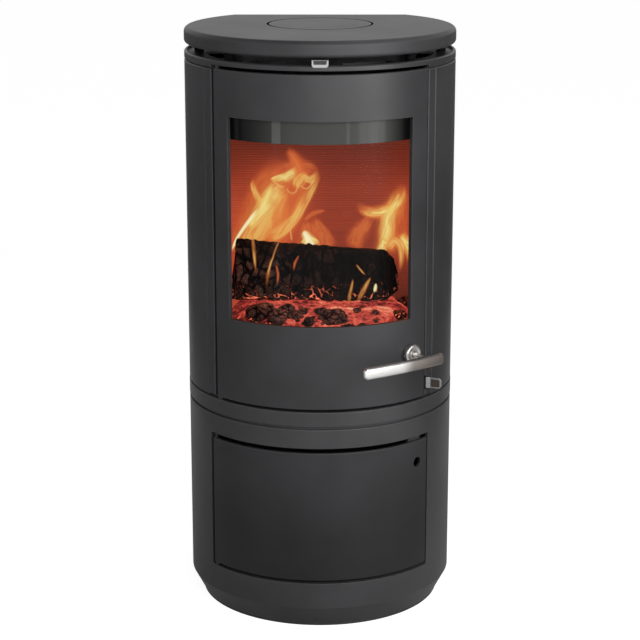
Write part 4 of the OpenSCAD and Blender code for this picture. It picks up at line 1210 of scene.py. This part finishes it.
@dataclass
class EmberBed:
    """The bed of embers: a glowing mound and the dark lumps of charcoal on it."""

    finishes: Finishes
    around: int = 190
    scattered: int = 60
    seed: int = 11
    crest: float = 0.0035
    skirt: float = 0.0003
    in_front: tuple[float, float] = (-0.135, -0.075)
    behind: float = 0.055
    small: tuple[float, float] = (0.0035, 0.0085)
    coarse: float = 0.009
    planes: int = 9
    coals_at: tuple[Triple, ...] = (
        (-0.143, -0.080, 0.0120), (-0.129, -0.100, 0.0133), (-0.116, -0.078, 0.0104),
        (-0.096, -0.086, 0.0240), (-0.104, -0.125, 0.0190), (-0.068, -0.112, 0.0180),
        (-0.055, -0.080, 0.0135), (-0.042, -0.104, 0.0147), (-0.028, -0.080, 0.0090),
        (-0.018, -0.131, 0.0102), (0.003, -0.089, 0.0110), (0.021, -0.119, 0.0195),
        (0.044, -0.139, 0.0131), (0.110, -0.122, 0.0132), (0.131, -0.061, 0.0134), (0.140, -0.096, 0.0118),
        (0.140, 0.018, 0.0122), (0.135, 0.070, 0.0109), (0.090, -0.138, 0.0116), (0.068, -0.128, 0.0088))
    low: Vector = field(init=False)
    high: Vector = field(init=False)

    def __post_init__(self) -> None:
        """Reads the bed's box from the frame."""
        self.low, self.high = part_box("ember_bed")

    def build(self) -> None:
        """Makes the mound and the lumps."""
        self.mound()
        self.coals()

    def surface(self, x: float, y: float) -> float:
        """The mound's height at a place.

        Args:
            x: Sideways place in metres.
            y: Place towards the back in metres.

        Returns:
            The height over the floor.
        """
        share = math.hypot(x, y) / self.high.x
        rim = max(0.0, 1.0 - max(0.0, share - 0.80) / 0.20)
        swell = noise.fractal(Vector((x * 30.0, y * 30.0, 3.0)), 0.9, 2.0, 4)
        tall = self.high.z - self.crest - self.low.z
        return self.low.z + tall * (0.40 + 0.60 * math.sqrt(rim)) + 0.0040 * (swell - 0.6) * rim

    def mound(self) -> None:
        """The glowing mound, closed underneath."""
        mesh = bmesh.new()
        half = self.high.x * 0.995
        bmesh.ops.create_grid(mesh, x_segments=self.around, y_segments=self.around, size=half)
        for vert in mesh.verts:
            x, y = vert.co.x, vert.co.y
            flat = math.hypot(x, y)
            scale = max(abs(x), abs(y)) / flat if flat > 1e-9 else 0.0
            x, y = x * scale, min(y * scale, self.high.y - 0.001)
            vert.co = Vector((x, y, self.surface(x, y)))
        rim = [e for e in mesh.edges if e.is_boundary]
        made = bmesh.ops.extrude_edge_only(mesh, edges=rim)["geom"]
        for vert in (item for item in made if isinstance(item, bmesh.types.BMVert)):
            vert.co.z = self.low.z + self.skirt
        bmesh.ops.contextual_create(mesh, geom=[e for e in mesh.edges if e.is_boundary])
        tidy_normals(mesh)
        make_piece("ember_heap", mesh, self.finishes.embers, "root", ["ember_bed"])

    def coals(self) -> None:
        """The lumps of charcoal: the ones in front at their own places, small ones scattered between."""
        chance = random.Random(self.seed)
        mesh = bmesh.new()
        layer = mesh.verts.layers.float_vector.new("burn")
        reach = self.high.x
        for x, y, size in self.coals_at:
            self._lump(mesh, layer, Vector((x, y, self.surface(x, y) + size * 0.18)), size, chance)
        for _ in range(self.scattered):
            x = chance.uniform(-0.9, 0.9) * reach
            before, after = chance.uniform(*self.in_front), chance.uniform(self.behind, self.high.y - 0.02)
            y = chance.choice((before, after))
            if math.hypot(x, y) < 0.93 * reach:
                size = chance.uniform(*self.small)
                self._lump(mesh, layer, Vector((x, y, self.surface(x, y) + size * 0.2)), size, chance)
        make_piece("ember_coals", mesh, self.finishes.coal, "root")

    def _lump(self, mesh: Mesh, layer: Any, place: Vector, size: float, chance: random.Random) -> None:
        """One lump: a ball cut by a few random planes and roughened.

        Args:
            mesh: Where the lump goes.
            layer: The vertex layer for what is painted on it.
            place: Its middle.
            size: Its mean radius in metres.
            chance: The source of its random shape.
        """
        finer = 4 if size > self.coarse else 3
        made = bmesh.ops.create_icosphere(mesh, subdivisions=finer, radius=1.0)["verts"]
        stretch = Vector((chance.uniform(0.95, 1.35), chance.uniform(0.8, 1.1), chance.uniform(0.65, 0.9)))
        spin = Matrix.Rotation(chance.uniform(0, math.tau), 3, "Z")
        turn = spin @ Matrix.Rotation(chance.uniform(-0.5, 0.5), 3, "X")
        cuts = [Vector(chance.gauss(0, 1) for _ in range(3)).normalized() for _ in range(self.planes)]
        offset = Vector((chance.uniform(0, 50), 0, 0))
        for vert in made:
            co = vert.co.copy()
            for cut in cuts:
                over = co.dot(cut) - 0.74
                if over > 0:
                    co -= cut * over * 0.85
            crack = noise.voronoi(co * 1.9 + offset)[0]
            plate = min(1.0, (crack[1] - crack[0]) * 3.0)
            bumps = 0.09 * noise.noise(co * 2.6 + offset)
            co *= 0.94 + 0.08 * plate + bumps + 0.07 * noise.noise(co * 9.0 + offset)
            vert.co = place + size * (turn @ Vector((co.x * stretch.x, co.y * stretch.y, co.z * stretch.z)))
            vert[layer] = Vector((plate, 0.0, 0.0))


@dataclass(frozen=True)
class Tongue:
    """One tongue of flame on an upright plane, with its sizes in millimetres.

    Its line is a run of (x, z, reach to the left, reach to the right), from foot to tip; the depth is its
    distance behind the stove's axis.
    """

    heat: Heat
    depth: float
    line: tuple[tuple[float, float, float, float], ...]


@dataclass
class Flames:
    """The flames over and in front of the log: thin curved sheets of light that keep to the firebox."""

    finishes: Finishes
    rows: int = 48
    columns: int = 12
    crown: float = 0.25
    least: float = 0.0004
    behind: tuple[Tongue, ...] = (
        Tongue(Heat.VEIL, 34, ((-108, 578, 45.7, 64.3), (-88, 609, 45.6, 57.4), (-67, 640, 43.8, 52.2),
            (-54, 669, 47, 47), (-40, 696, 41.9, 38.6), (-30, 722, 16.7, 25.1), (-28, 736, 5, 8.4))),
        Tongue(Heat.WISP, 36, ((-146, 570, 16.9, 44), (-139, 602, 18.6, 43.9), (-128, 629, 21.9, 43.8),
            (-118, 657, 23.6, 43.7), (-106, 682, 25.2, 40.3), (-90, 706, 25.1, 33.5),
            (-67, 727, 23.4, 23.4), (-47, 740, 10, 13.4))),
        Tongue(Heat.WISP, 37, ((-87, 691, 16.8, 40.3), (-64, 715, 20.1, 40.2), (-37, 726, 20.1, 30.1),
            (-13, 721, 13.4, 20.1), (3, 704, 5, 6.7))),
        Tongue(Heat.VEIL, 28, ((-98, 593, 40.5, 43.9), (-77, 621, 37, 43.8), (-59, 648, 33.6, 40.3),
            (-45, 674, 30.2, 33.5), (-33, 696, 20.1, 23.4))),
        Tongue(Heat.WISP, 30, ((-33, 699, 23.4, 23.4), (-37, 723, 20, 21.7), (-43, 743, 13.3, 15),
            (-50, 760, 5, 5))),
        Tongue(Heat.BODY, 18, ((-141, 578, 6.7, 23.6), (-124, 607, 11.8, 47), (-107, 633, 15.1, 50.3),
            (-92, 657, 20.1, 46.9), (-79, 678, 28.4, 41.8), (-65, 696, 30, 33.4), (-50, 713, 23.3, 23.3))),
        Tongue(Heat.BODY, 14, ((-87, 651, 15.1, 15.1), (-102, 670, 8.3, 18.4), (-110, 685, 5.8, 11.7),
            (-113, 699, 5, 7.5), (-108, 711, 2.5, 3.3))),
        Tongue(Heat.CORE, 10, ((-124, 621, 8.4, 13.4), (-110, 643, 11.7, 21.7), (-97, 662, 16.7, 28.4),
            (-85, 677, 20, 30), (-72, 693, 18.3, 21.6), (-58, 706, 10, 13.3))),
        Tongue(Heat.HOT, 6, ((-149, 584, 2, 3), (-142, 603, 2.5, 4.2), (-132, 620, 3.3, 5.7),
            (-120, 637, 3.7, 6.7), (-108, 653, 3.3, 7.5), (-97, 665, 1.7, 3.3))),
        Tongue(Heat.CORE, 8, ((-85, 707, 2.5, 5), (-71, 712, 5, 13.3), (-58, 715, 5.8, 18.3),
            (-46, 722, 6.6, 16.6), (-36, 732, 4.1, 6.6))),
        Tongue(Heat.WISP, 16, ((-33, 698, 15, 16.7), (-35, 719, 15, 16.6), (-43, 739, 13.3, 15),
            (-50, 752, 11.6, 10.8), (-51, 764, 3.3, 3.3))),
        Tongue(Heat.RIM, 4, ((-83, 711, 1.3, 1.3), (-73, 702, 3.3, 4.2), (-63, 696, 3.7, 4.2),
            (-53, 702, 2.5, 2.5))),
        Tongue(Heat.BODY, 12, ((-43, 689, 8.3, 13.3), (-37, 704, 13.3, 18.3), (-25, 711, 13.3, 16.6),
            (-15, 706, 11.6, 11.6), (-7, 716, 6.7, 6.7), (-5, 726, 2.5, 2.5))),
        Tongue(Heat.BODY, 12, ((-91, 597, 26.9, 8.4), (-64, 614, 26.8, 10.1), (-40, 640, 23.4, 9.2),
            (-25, 665, 20, 7.5), (-13, 687, 15, 6.7), (-3, 709, 6.7, 5), (-5, 724, 2.5, 2.5))),
        Tongue(Heat.RIM, 6, ((-57, 697, 2.3, 2.3), (-52, 687, 3, 2.7), (-43, 685, 3, 2.7), (-37, 695, 3, 3),
            (-37, 709, 3.3, 4.2), (-38, 722, 3.3, 4.1))),
        Tongue(Heat.RIM, 6, ((-33, 702, 2.3, 2.3), (-27, 693, 3, 3), (-18, 695, 3, 3), (-10, 707, 3.3, 3.3),
            (-3, 717, 2, 2))),
        Tongue(Heat.VEIL, 20, ((-20, 585, 30.3, 33.7), (-20, 605, 25.2, 28.6), (-22, 626, 15.1, 16.8),
            (-23, 640, 5, 5))),
        Tongue(Heat.HOT, 4, ((-18, 592, 13.4, 20.1), (-20, 605, 11.7, 16.7), (-25, 617, 8.4, 9.2),
            (-27, 624, 1.7, 2.5))),
        Tongue(Heat.CORE, 6, ((-34, 598, 3.4, 6.7), (-20, 608, 5, 10), (-7, 605, 4.2, 8.4),
            (3, 595, 1.7, 3.4))),
        Tongue(Heat.VEIL, 26, ((13, 583, 23.6, 23.6), (7, 607, 21.9, 18.5), (-5, 628, 13.5, 11.8),
            (-12, 645, 3.4, 3.4))),
        Tongue(Heat.WISP, 24, ((-29, 632, 5, 5), (-13, 646, 6.7, 7.6), (2, 651, 5, 5.9),
            (12, 651, 1.7, 1.7))),
        Tongue(Heat.RIM, 4, ((-47, 602, 3, 3), (-50, 624, 2.7, 2.7), (-55, 643, 2, 2))),
        Tongue(Heat.BODY, 14, ((108, 576, 30.3, 32), (111, 603, 23.5, 25.2), (112, 625, 21.8, 23.5),
            (114, 646, 21.7, 23.4), (124, 663, 21.7, 21.7), (134, 677, 21.7, 16.7), (138, 690, 16.7, 10),
            (137, 702, 5, 5))),
        Tongue(Heat.CORE, 6, ((107, 593, 13.4, 15.1), (110, 619, 13.4, 15.1), (114, 643, 13.4, 15),
            (122, 660, 11.7, 12.5), (132, 673, 10, 9.2), (138, 688, 5, 5))),
        Tongue(Heat.BODY, 12, ((130, 662, 13.4, 15), (115, 655, 13.4, 16.7), (99, 651, 12.5, 16.7),
            (84, 650, 11.7, 15), (74, 655, 10, 10), (65, 667, 5, 5))),
        Tongue(Heat.CORE, 8, ((118, 657, 4.2, 5.8), (105, 652, 5, 6.7), (90, 651, 4.2, 5.8),
            (78, 652, 2.5, 3.3))),
        Tongue(Heat.CORE, 4, ((99, 586, 10.1, 15.1), (105, 599, 8.4, 13.4), (110, 609, 5, 6.7))),
        Tongue(Heat.VEIL, 32, ((122, 578, 40.6, 33.8), (127, 606, 33.7, 30.4), (130, 637, 28.6, 25.2),
            (134, 661, 21.8, 20.2), (137, 685, 13.4, 13.4), (137, 702, 3.3, 3.3))),
        Tongue(Heat.VEIL, 30, ((138, 655, 15.1, 15.1), (114, 648, 16.8, 16.8), (91, 646, 15.1, 16.8),
            (71, 653, 11.8, 11.8), (59, 667, 3.4, 3.4))),
        Tongue(Heat.RIM, 0, ((110, 589, 6.7, 6.7), (122, 605, 7.5, 7.5), (132, 596, 7.5, 6.7),
            (136, 575, 6.7, 5.9), (136, 551, 2.5, 2.5))),
        Tongue(Heat.BODY, 2, ((111, 585, 8.4, 10.1), (124, 606, 10, 11.7), (136, 596, 8.4, 8.4),
            (136, 571, 6.7, 5.9), (133, 547, 2.5, 2.5))),
        Tongue(Heat.CORE, 0, ((134, 613, 2.5, 4.2), (142, 605, 6.7, 8.4), (149, 593, 8.4, 8.4),
            (152, 577, 3.4, 3.4))),
        Tongue(Heat.BODY, 12, ((134, 617, 8.4, 8.4), (144, 602, 15.1, 15.1), (150, 583, 13.4, 11.8),
            (150, 562, 5, 5))),
        Tongue(Heat.VEIL, 22, ((54, 584, 18.5, 20.2), (61, 606, 20.2, 20.2), (71, 622, 16.8, 18.5),
            (81, 636, 10.1, 13.4), (91, 646, 3.4, 5))))
    front: tuple[Tongue, ...] = (
        Tongue(Heat.LICK, -66, ((-110.5, 635, 2.4, 2.4), (-109.5, 616, 4, 4), (-108, 598, 4.4, 4),
            (-106.5, 581, 3.4, 3.4), (-105, 560, 1, 1))),
        Tongue(Heat.LICK, -67, ((-64, 625, 1, 1), (-71, 610, 2.2, 2.4), (-77, 593, 2.6, 2.6),
            (-82, 578, 2.8, 3.2), (-86, 559, 4.4, 4.4), (-89, 534, 1.4, 1.4))),
        Tongue(Heat.WISP, -67, ((-72, 581, 2.1, 2.1), (-69, 562, 3.3, 3.3), (-71, 544, 1.6, 1.6))),
        Tongue(Heat.WISP, -67, ((-34, 596, 1.6, 1.6), (-41, 583, 3.3, 3.3), (-44, 567, 1.6, 1.6))),
        Tongue(Heat.LICK, -68, ((59, 581, 1.6, 1.6), (67, 571, 2.6, 2.6), (76, 561, 1.6, 1.6))),
        Tongue(Heat.LICK, -69, ((54.5, 558, 1.2, 1.2), (52.5, 544, 3.2, 3.8), (49.5, 532, 4.4, 4.2),
            (48, 520, 3.6, 4), (47, 503, 1.2, 1.2))),
        Tongue(Heat.LICK, -69, ((84, 561, 1.2, 1.2), (77.5, 548, 4.6, 5.6), (71, 536, 6.6, 6),
            (65, 524, 4.2, 4.6), (61, 514, 1.2, 1.2))),
        Tongue(Heat.HOT, -69, ((92, 549, 1.6, 1.6), (91, 541, 4.3, 4.3), (89, 532, 1.6, 1.6))))

    def build(self) -> None:
        """Makes one piece of each heat behind the log, and one in front of it."""
        for group, tongues in (("back", self.behind), ("front", self.front)):
            for heat in Heat:
                chosen = [tongue for tongue in tongues if tongue.heat is heat]
                if not chosen:
                    continue
                mesh = bmesh.new()
                for tongue in chosen:
                    self._sheet(mesh, tongue)
                finish = self.finishes.flames[heat]
                make_piece(f"flames_{group}_{heat.value}", mesh, finish, "root")

    def _sheet(self, mesh: Mesh, tongue: Tongue) -> None:
        """Adds one tongue's sheet, with its UV map: across in u, up in v.

        Args:
            mesh: Where the sheet goes.
            tongue: The tongue.
        """
        made = bmesh.ops.create_grid(mesh, x_segments=self.columns, y_segments=self.rows, size=1.0,
                                     calc_uvs=False)["verts"]
        layer = mesh.loops.layers.uv.verify()
        own = set(made)
        where = {}
        for vert in made:
            across, up = vert.co.x, (vert.co.y + 1.0) / 2.0
            where[vert] = ((across + 1.0) / 2.0, up)
            vert.co = self._point(tongue, across, up)
        for face in mesh.faces:
            if face.verts[0] in own:
                for loop in face.loops:
                    loop[layer].uv = where[loop.vert]

    def _point(self, tongue: Tongue, across: float, up: float) -> Vector:
        """A point of a tongue's sheet, on a smooth curve through the points of its line.

        Args:
            tongue: The tongue.
            across: -1 at the left edge, 1 at the right.
            up: 0 at the foot, 1 at the tip.

        Returns:
            The point in the stove's frame.
        """
        line = [Vector(part / MILLIMETRES for part in point) for point in tongue.line]
        place = up * (len(line) - 1)
        i = min(int(place), len(line) - 2)
        t = place - i
        a, b = line[i], line[i + 1]
        before = line[i - 1] if i else 2 * a - b
        after = line[i + 2] if i + 2 < len(line) else 2 * b - a
        middle = 0.5 * ((2 * a) + (b - before) * t + (2 * before - 5 * a + 4 * b - after) * t * t
                        + (3 * a - before - 3 * b + after) * t * t * t)
        ahead = 0.5 * (b - before) * (1.0 - t) + 0.5 * (after - a) * t
        side = Vector((ahead.y, -ahead.x)).normalized()
        reach = max(self.least, middle.w if across > 0 else middle.z)
        width = reach * across
        depth = tongue.depth / MILLIMETRES - self.crown * reach * (1.0 - across * across)
        return Vector((middle.x + side.x * width, depth, middle.y + side.y * width))


@dataclass
class AirControls:
    """The two bare steel tabs that set the air: the slide beside the door and the lever under the top."""

    finishes: Finishes
    edge: float = 0.0009
    border: float = 0.0024
    corner: float = 0.0045
    lip_rise: float = 0.0020
    body_r: float = 0.2235
    sunk: float = 0.0006

    def build(self) -> None:
        """Makes both."""
        self.slide()
        self.lever()

    def slide(self) -> None:
        """The slide's strip: its CAD solid with rounded edges, and a heat-tinted field in its tab's face."""
        mesh = self._merged("primary_air_slide")
        bevel(mesh, sharp_edges(mesh, 40.0), self.edge, 3)
        outside = [f for f in mesh.faces
                   if f.calc_center_median().xy.length > self.body_r and f.normal.y < 0.0]
        self._sink(mesh, outside, 0.0)
        make_piece("air_slide_tab", mesh, self.finishes.shaded, "primary_air_slide",
                   ["primary_air_slide"], smooth=False, second=self.finishes.tinted)

    def lever(self) -> None:
        """The lever: its CAD solid with rounded corners and edges, and a field sunk into its lip and painted
        dark as shade.
        """
        mesh = self._merged("top_air_lever")
        near = self.edge / 10
        foot = min(v.co.z for v in mesh.verts) + near
        corners = [e for e in mesh.edges if max(v.co.z for v in e.verts) < foot
                   and abs(e.verts[0].co.x - e.verts[1].co.x) < near]
        bevel(mesh, corners, self.corner, 5)
        bevel(mesh, sharp_edges(mesh, 40.0), self.edge * 0.8, 3)
        self._sink(mesh, [f for f in mesh.faces if f.normal.y < -0.9], self.lip_rise)
        # The sunk field takes the dark stainless, a painted shade.
        make_piece("lever_tab", mesh, self.finishes.shaded, "top_air_lever",
                   ["top_air_lever"], smooth=False, second=self.finishes.soot_and_shade)

    def _sink(self, mesh: Mesh, faces: Sequence[Face], rise: float) -> None:
        """Sinks a field into the largest of some faces and gives it the piece's second material.

        Args:
            mesh: The tab.
            faces: The faces.
            rise: How far the field lies above the face's middle.
        """
        field_face = max(faces, key=lambda f: f.calc_area())
        bmesh.ops.inset_region(mesh, faces=[field_face], thickness=self.border, depth=0.0)
        bmesh.ops.translate(mesh, vec=(0.0, 0.0, rise), verts=field_face.verts)
        inner = bmesh.ops.inset_region(mesh, faces=[field_face], thickness=self.sunk / 2, depth=-self.sunk)
        for face in (field_face, *inner["faces"]):
            face.material_index = 1

    @staticmethod
    def _merged(node: str) -> Mesh:
        """A CAD node's shape as one closed bmesh with its flat faces joined.

        Args:
            node: The node's name.

        Returns:
            The shape.
        """
        mesh = node_mesh(node)
        bmesh.ops.dissolve_limit(mesh, angle_limit=math.radians(1.0), verts=mesh.verts, edges=mesh.edges)
        bmesh.ops.recalc_face_normals(mesh, faces=mesh.faces)
        return mesh


@dataclass
class SideLinings:
    """The two side linings, their front ends cut back so that the fire shows to the window's sides."""

    finishes: Finishes
    front: float = -0.100

    def build(self) -> None:
        """Makes both boards."""
        for node in ("left_lining", "right_lining"):
            mesh = node_mesh(node)
            rim = cut_off(mesh, whole(mesh), (0, self.front, 0), (0, -1, 0))
            bmesh.ops.holes_fill(mesh, edges=rim)
            tidy_normals(mesh, WELD)
            make_piece(f"{node}_board", mesh, self.finishes.lining, "root", [node],
                       smooth=False)


@dataclass
class GlassClips:
    """The four steel clips that hold the glass, cut back so that the door hides them."""

    finishes: Finishes
    start: float = math.radians(44.4)

    def build(self) -> None:
        """Makes the clips as one piece, each side's pair cut by its own upright plane."""
        mesh = node_mesh("glass_clips")
        for side in (-1.0, 1.0):
            inward = Vector((-side * math.cos(self.start), -math.sin(self.start), 0.0))
            own = [v for v in mesh.verts if v.co.x * side > 0]
            edges = dict.fromkeys(e for v in own for e in v.link_edges)
            faces = dict.fromkeys(f for v in own for f in v.link_faces)
            rim = cut_off(mesh, [*own, *edges, *faces], (0, 0, 0), inward)
            bmesh.ops.holes_fill(mesh, edges=rim)
        tidy_normals(mesh, WELD)
        make_piece("clips_cut_back", mesh, self.finishes.zinc, "door", ["glass_clips"],
                   smooth=False)


class Castings:
    """The CAD nodes that keep their own shape: each gets its finish."""

    def __init__(self, finishes: Finishes) -> None:
        """Pairs each slot and each special node with its finish.

        Args:
            finishes: Every finish of the stove.
        """
        self.by_slot = {
            Slot.IRON: finishes.iron, Slot.PLATE: finishes.plate, Slot.STAINLESS: finishes.stainless,
            Slot.ZINC: finishes.zinc, Slot.LINING: finishes.lining, Slot.GLASS: finishes.glass,
            Slot.ROPE: finishes.rope, Slot.WOOD: finishes.wood, Slot.EMBERS: finishes.embers}
        groups = (
            # The base's lighter paint, the low door's darker one and the near-black paint are lit and shaded
            # copies of the iron paint: painted light and shade.
            (finishes.top, ("top_plate", "flue_cover")),
            (finishes.base, ("base_casing", "mid_band", "foot_plate")),
            (finishes.low_door, ("storage_door",)),
            (finishes.black, ("top_spacers", "firebox_roof")),
            (finishes.inner, (
                "front_frame", "door_hinge_pins", "door_bush", "storage_hinge_pins", "storage_door_bush",
                "storage_catch", "latch_keeper", "grate", "log_retainer", "top_outlet_cap")))
        self.special = {node: finish for finish, nodes in groups for node in nodes}

    def build(self) -> None:
        """Dresses every node."""
        slots = {part["node"]: Slot(part["material_slot"]) for part in frame["record"]["subparts"]}
        for node, item in frame["nodes"].items():
            finish = self.special.get(node) or self.by_slot[slots[node]]
            dress(item, finish)
            log.info("node %s: %s", node, finish.name)


@dataclass(frozen=True)
class Card:
    """A screen beside the stove: its paint's shine and the light see it, the camera doesn't."""

    name: str
    x: float
    front: float
    back: float
    height: float
    tone: Colour

    def build(self) -> None:
        """Stands the card up."""
        mesh = bmesh.new()
        bmesh.ops.create_grid(mesh, x_segments=1, y_segments=1, size=0.5)
        bmesh.ops.scale(mesh, vec=(self.back - self.front, self.height, 1.0), verts=mesh.verts)
        for axis in "XZ":
            bmesh.ops.rotate(mesh, matrix=Matrix.Rotation(math.pi / 2, 3, axis), verts=mesh.verts)
        middle = (self.x, (self.front + self.back) / 2, self.height / 2)
        bmesh.ops.translate(mesh, vec=middle, verts=mesh.verts)
        shader = Shader(self.name)
        cloth = shader.mix(shader.noise(4.0), self.tone, toned(self.tone, 0.8))
        item = stage_item(self.name, mesh, shader.output(shader.matt(cloth)))
        item.visible_camera = False
        item.visible_shadow = False


@dataclass(frozen=True)
class SoftBox:
    """A rectangular lamp that the camera doesn't see."""

    name: str
    place: Triple
    target: Triple
    size: tuple[float, float]
    watts: float

    def build(self) -> None:
        """Hangs the lamp and turns it to its target."""
        lamp = hang_lamp(self.name, "AREA", self.place, self.watts)
        lamp.data.shape = "RECTANGLE"
        lamp.data.size, lamp.data.size_y = self.size
        way = Vector(self.target) - Vector(self.place)
        lamp.rotation_euler = way.to_track_quat("-Z", "Y").to_euler()
        lamp.visible_camera = False


@dataclass
class Studio:
    """The plain pale floor, the soft lamps and the camera at the photograph's viewing angle."""

    picture_px: float = 640.0
    focal_px: float = 1948.0
    sensor_mm: float = 36.0
    camera_place: Triple = (0.0, -3.179, 1.322)
    pitch: float = math.radians(15.04)
    floor_half: float = 30.0
    floor_tone: Colour = (0.34, 0.34, 0.34)
    floor_shown: Colour = (0.40, 0.40, 0.40)
    floor_light: float = 0.90
    cards: tuple[Card, ...] = (
        Card("card_left", -0.95, -0.45, 2.6, 1.05, (0.72, 0.72, 0.74)),
        Card("card_right", 0.95, -0.35, 2.6, 1.05, (0.70, 0.66, 0.62)))
    lamps: tuple[SoftBox, ...] = (
        SoftBox("key", (1.30, -1.35, 1.17), (0.0, 0.0, 1.0), (0.8, 1.8), 21.0),
        SoftBox("front", (0.38, -1.95, 1.20), (0.0, 0.0, 0.9), (1.6, 1.1), 20.0),
        SoftBox("top", (0.5, 0.2, 2.6), (0.0, 0.0, 0.9), (0.8, 0.8), 5.0))

    def build(self) -> None:
        """Makes everything that isn't part of the stove."""
        self.camera()
        self.floor()
        self.world()
        for item in (*self.lamps, *self.cards):
            item.build()

    def camera(self) -> None:
        """The camera."""
        data = bpy.data.cameras.new("camera")
        data.sensor_width = self.sensor_mm
        data.lens = self.focal_px / self.picture_px * self.sensor_mm
        eye = bpy.data.objects.new("camera", data)
        eye.location = self.camera_place
        eye.rotation_euler = (math.pi / 2 - self.pitch, 0.0, 0.0)
        bpy.context.scene.collection.objects.link(eye)
        bpy.context.scene.camera = eye

    def floor(self) -> None:
        """A wide floor that the camera sees as white, with the stove's shadow on it, and a painted shadow
        round the stove that only mirror rays see.
        """
        mesh = bmesh.new()
        bmesh.ops.create_grid(mesh, x_segments=1, y_segments=1, size=self.floor_half)
        shader = Shader("studio_floor")
        x, y, _ = shader.axes(shader.place())
        # Painted shadow: to mirror rays the floor is darker near the stove, fading out from 0.3 m to 2.3 m.
        out_of_painted_shadow = (x * x + y * y).maths("SQRT").step(0.3, 2.3)
        strength = self.floor_light - 0.76 * (1.0 - out_of_painted_shadow) * shader.ray("Glossy")
        light = shader.add("ShaderNodeEmission", None, {"Color": rgba(WHITE), "Strength": strength})
        parts = {0: shader.matt(self.floor_shown), 1: light.outputs[0]}
        bright = shader.add("ShaderNodeAddShader", None, parts).outputs[0]
        surface = shader.blend(shader.seen(), shader.matt(self.floor_tone), bright)
        stage_item("floor", mesh, shader.output(surface))

    @staticmethod
    def world() -> None:
        """A white background for what looks at it level, darker overhead, and a soft light for the rest."""
        world = bpy.data.worlds.new("studio")
        bpy.context.scene.world = world
        shader = Shader("studio", world)
        up = shader.axes(shader.add("ShaderNodeTexCoord").outputs["Generated"])[2]
        overhead = up.step(0.34, 0.85)
        shown = 1.0 - 0.85 * overhead * shader.ray("Glossy")
        soft = 0.30 - 0.12 * overhead
        strength = soft + (shown - soft) * shader.seen()
        back = shader.add("ShaderNodeBackground", None, {"Color": rgba(WHITE), "Strength": strength})
        shader.output(back.outputs[0], "World")


@dataclass
class FireLight:
    """The light that the fire throws on its surroundings, from small warm lamps in the firebox."""

    tone: Colour = (1.0, 0.36, 0.12)
    softness: float = 0.03
    lamps: tuple[tuple[str, Triple, float], ...] = (
        ("fire_left", (-0.07, -0.02, 0.68), 1.1), ("fire_right", (0.09, -0.02, 0.64), 0.6))

    def build(self) -> None:
        """Hangs the lamps."""
        for name, place, watts in self.lamps:
            lamp = hang_lamp(name, "POINT", place, watts)
            lamp.data.color = self.tone
            lamp.data.shadow_soft_size = self.softness
            lamp.visible_glossy = False


def main() -> None:
    """Builds the studio, the finishes and every piece."""
    logging.basicConfig(level=logging.INFO, format="%(message)s")
    bpy.context.scene.view_settings.view_transform = "Standard"
    Studio().build()
    finishes = Finishes()
    for maker in (Castings, Handle, AirControls, GlassClips, SideLinings, SplitLog, EmberBed, Flames):
        maker(finishes).build()
    FireLight().build()


if __name__ == "__main__":
    main()
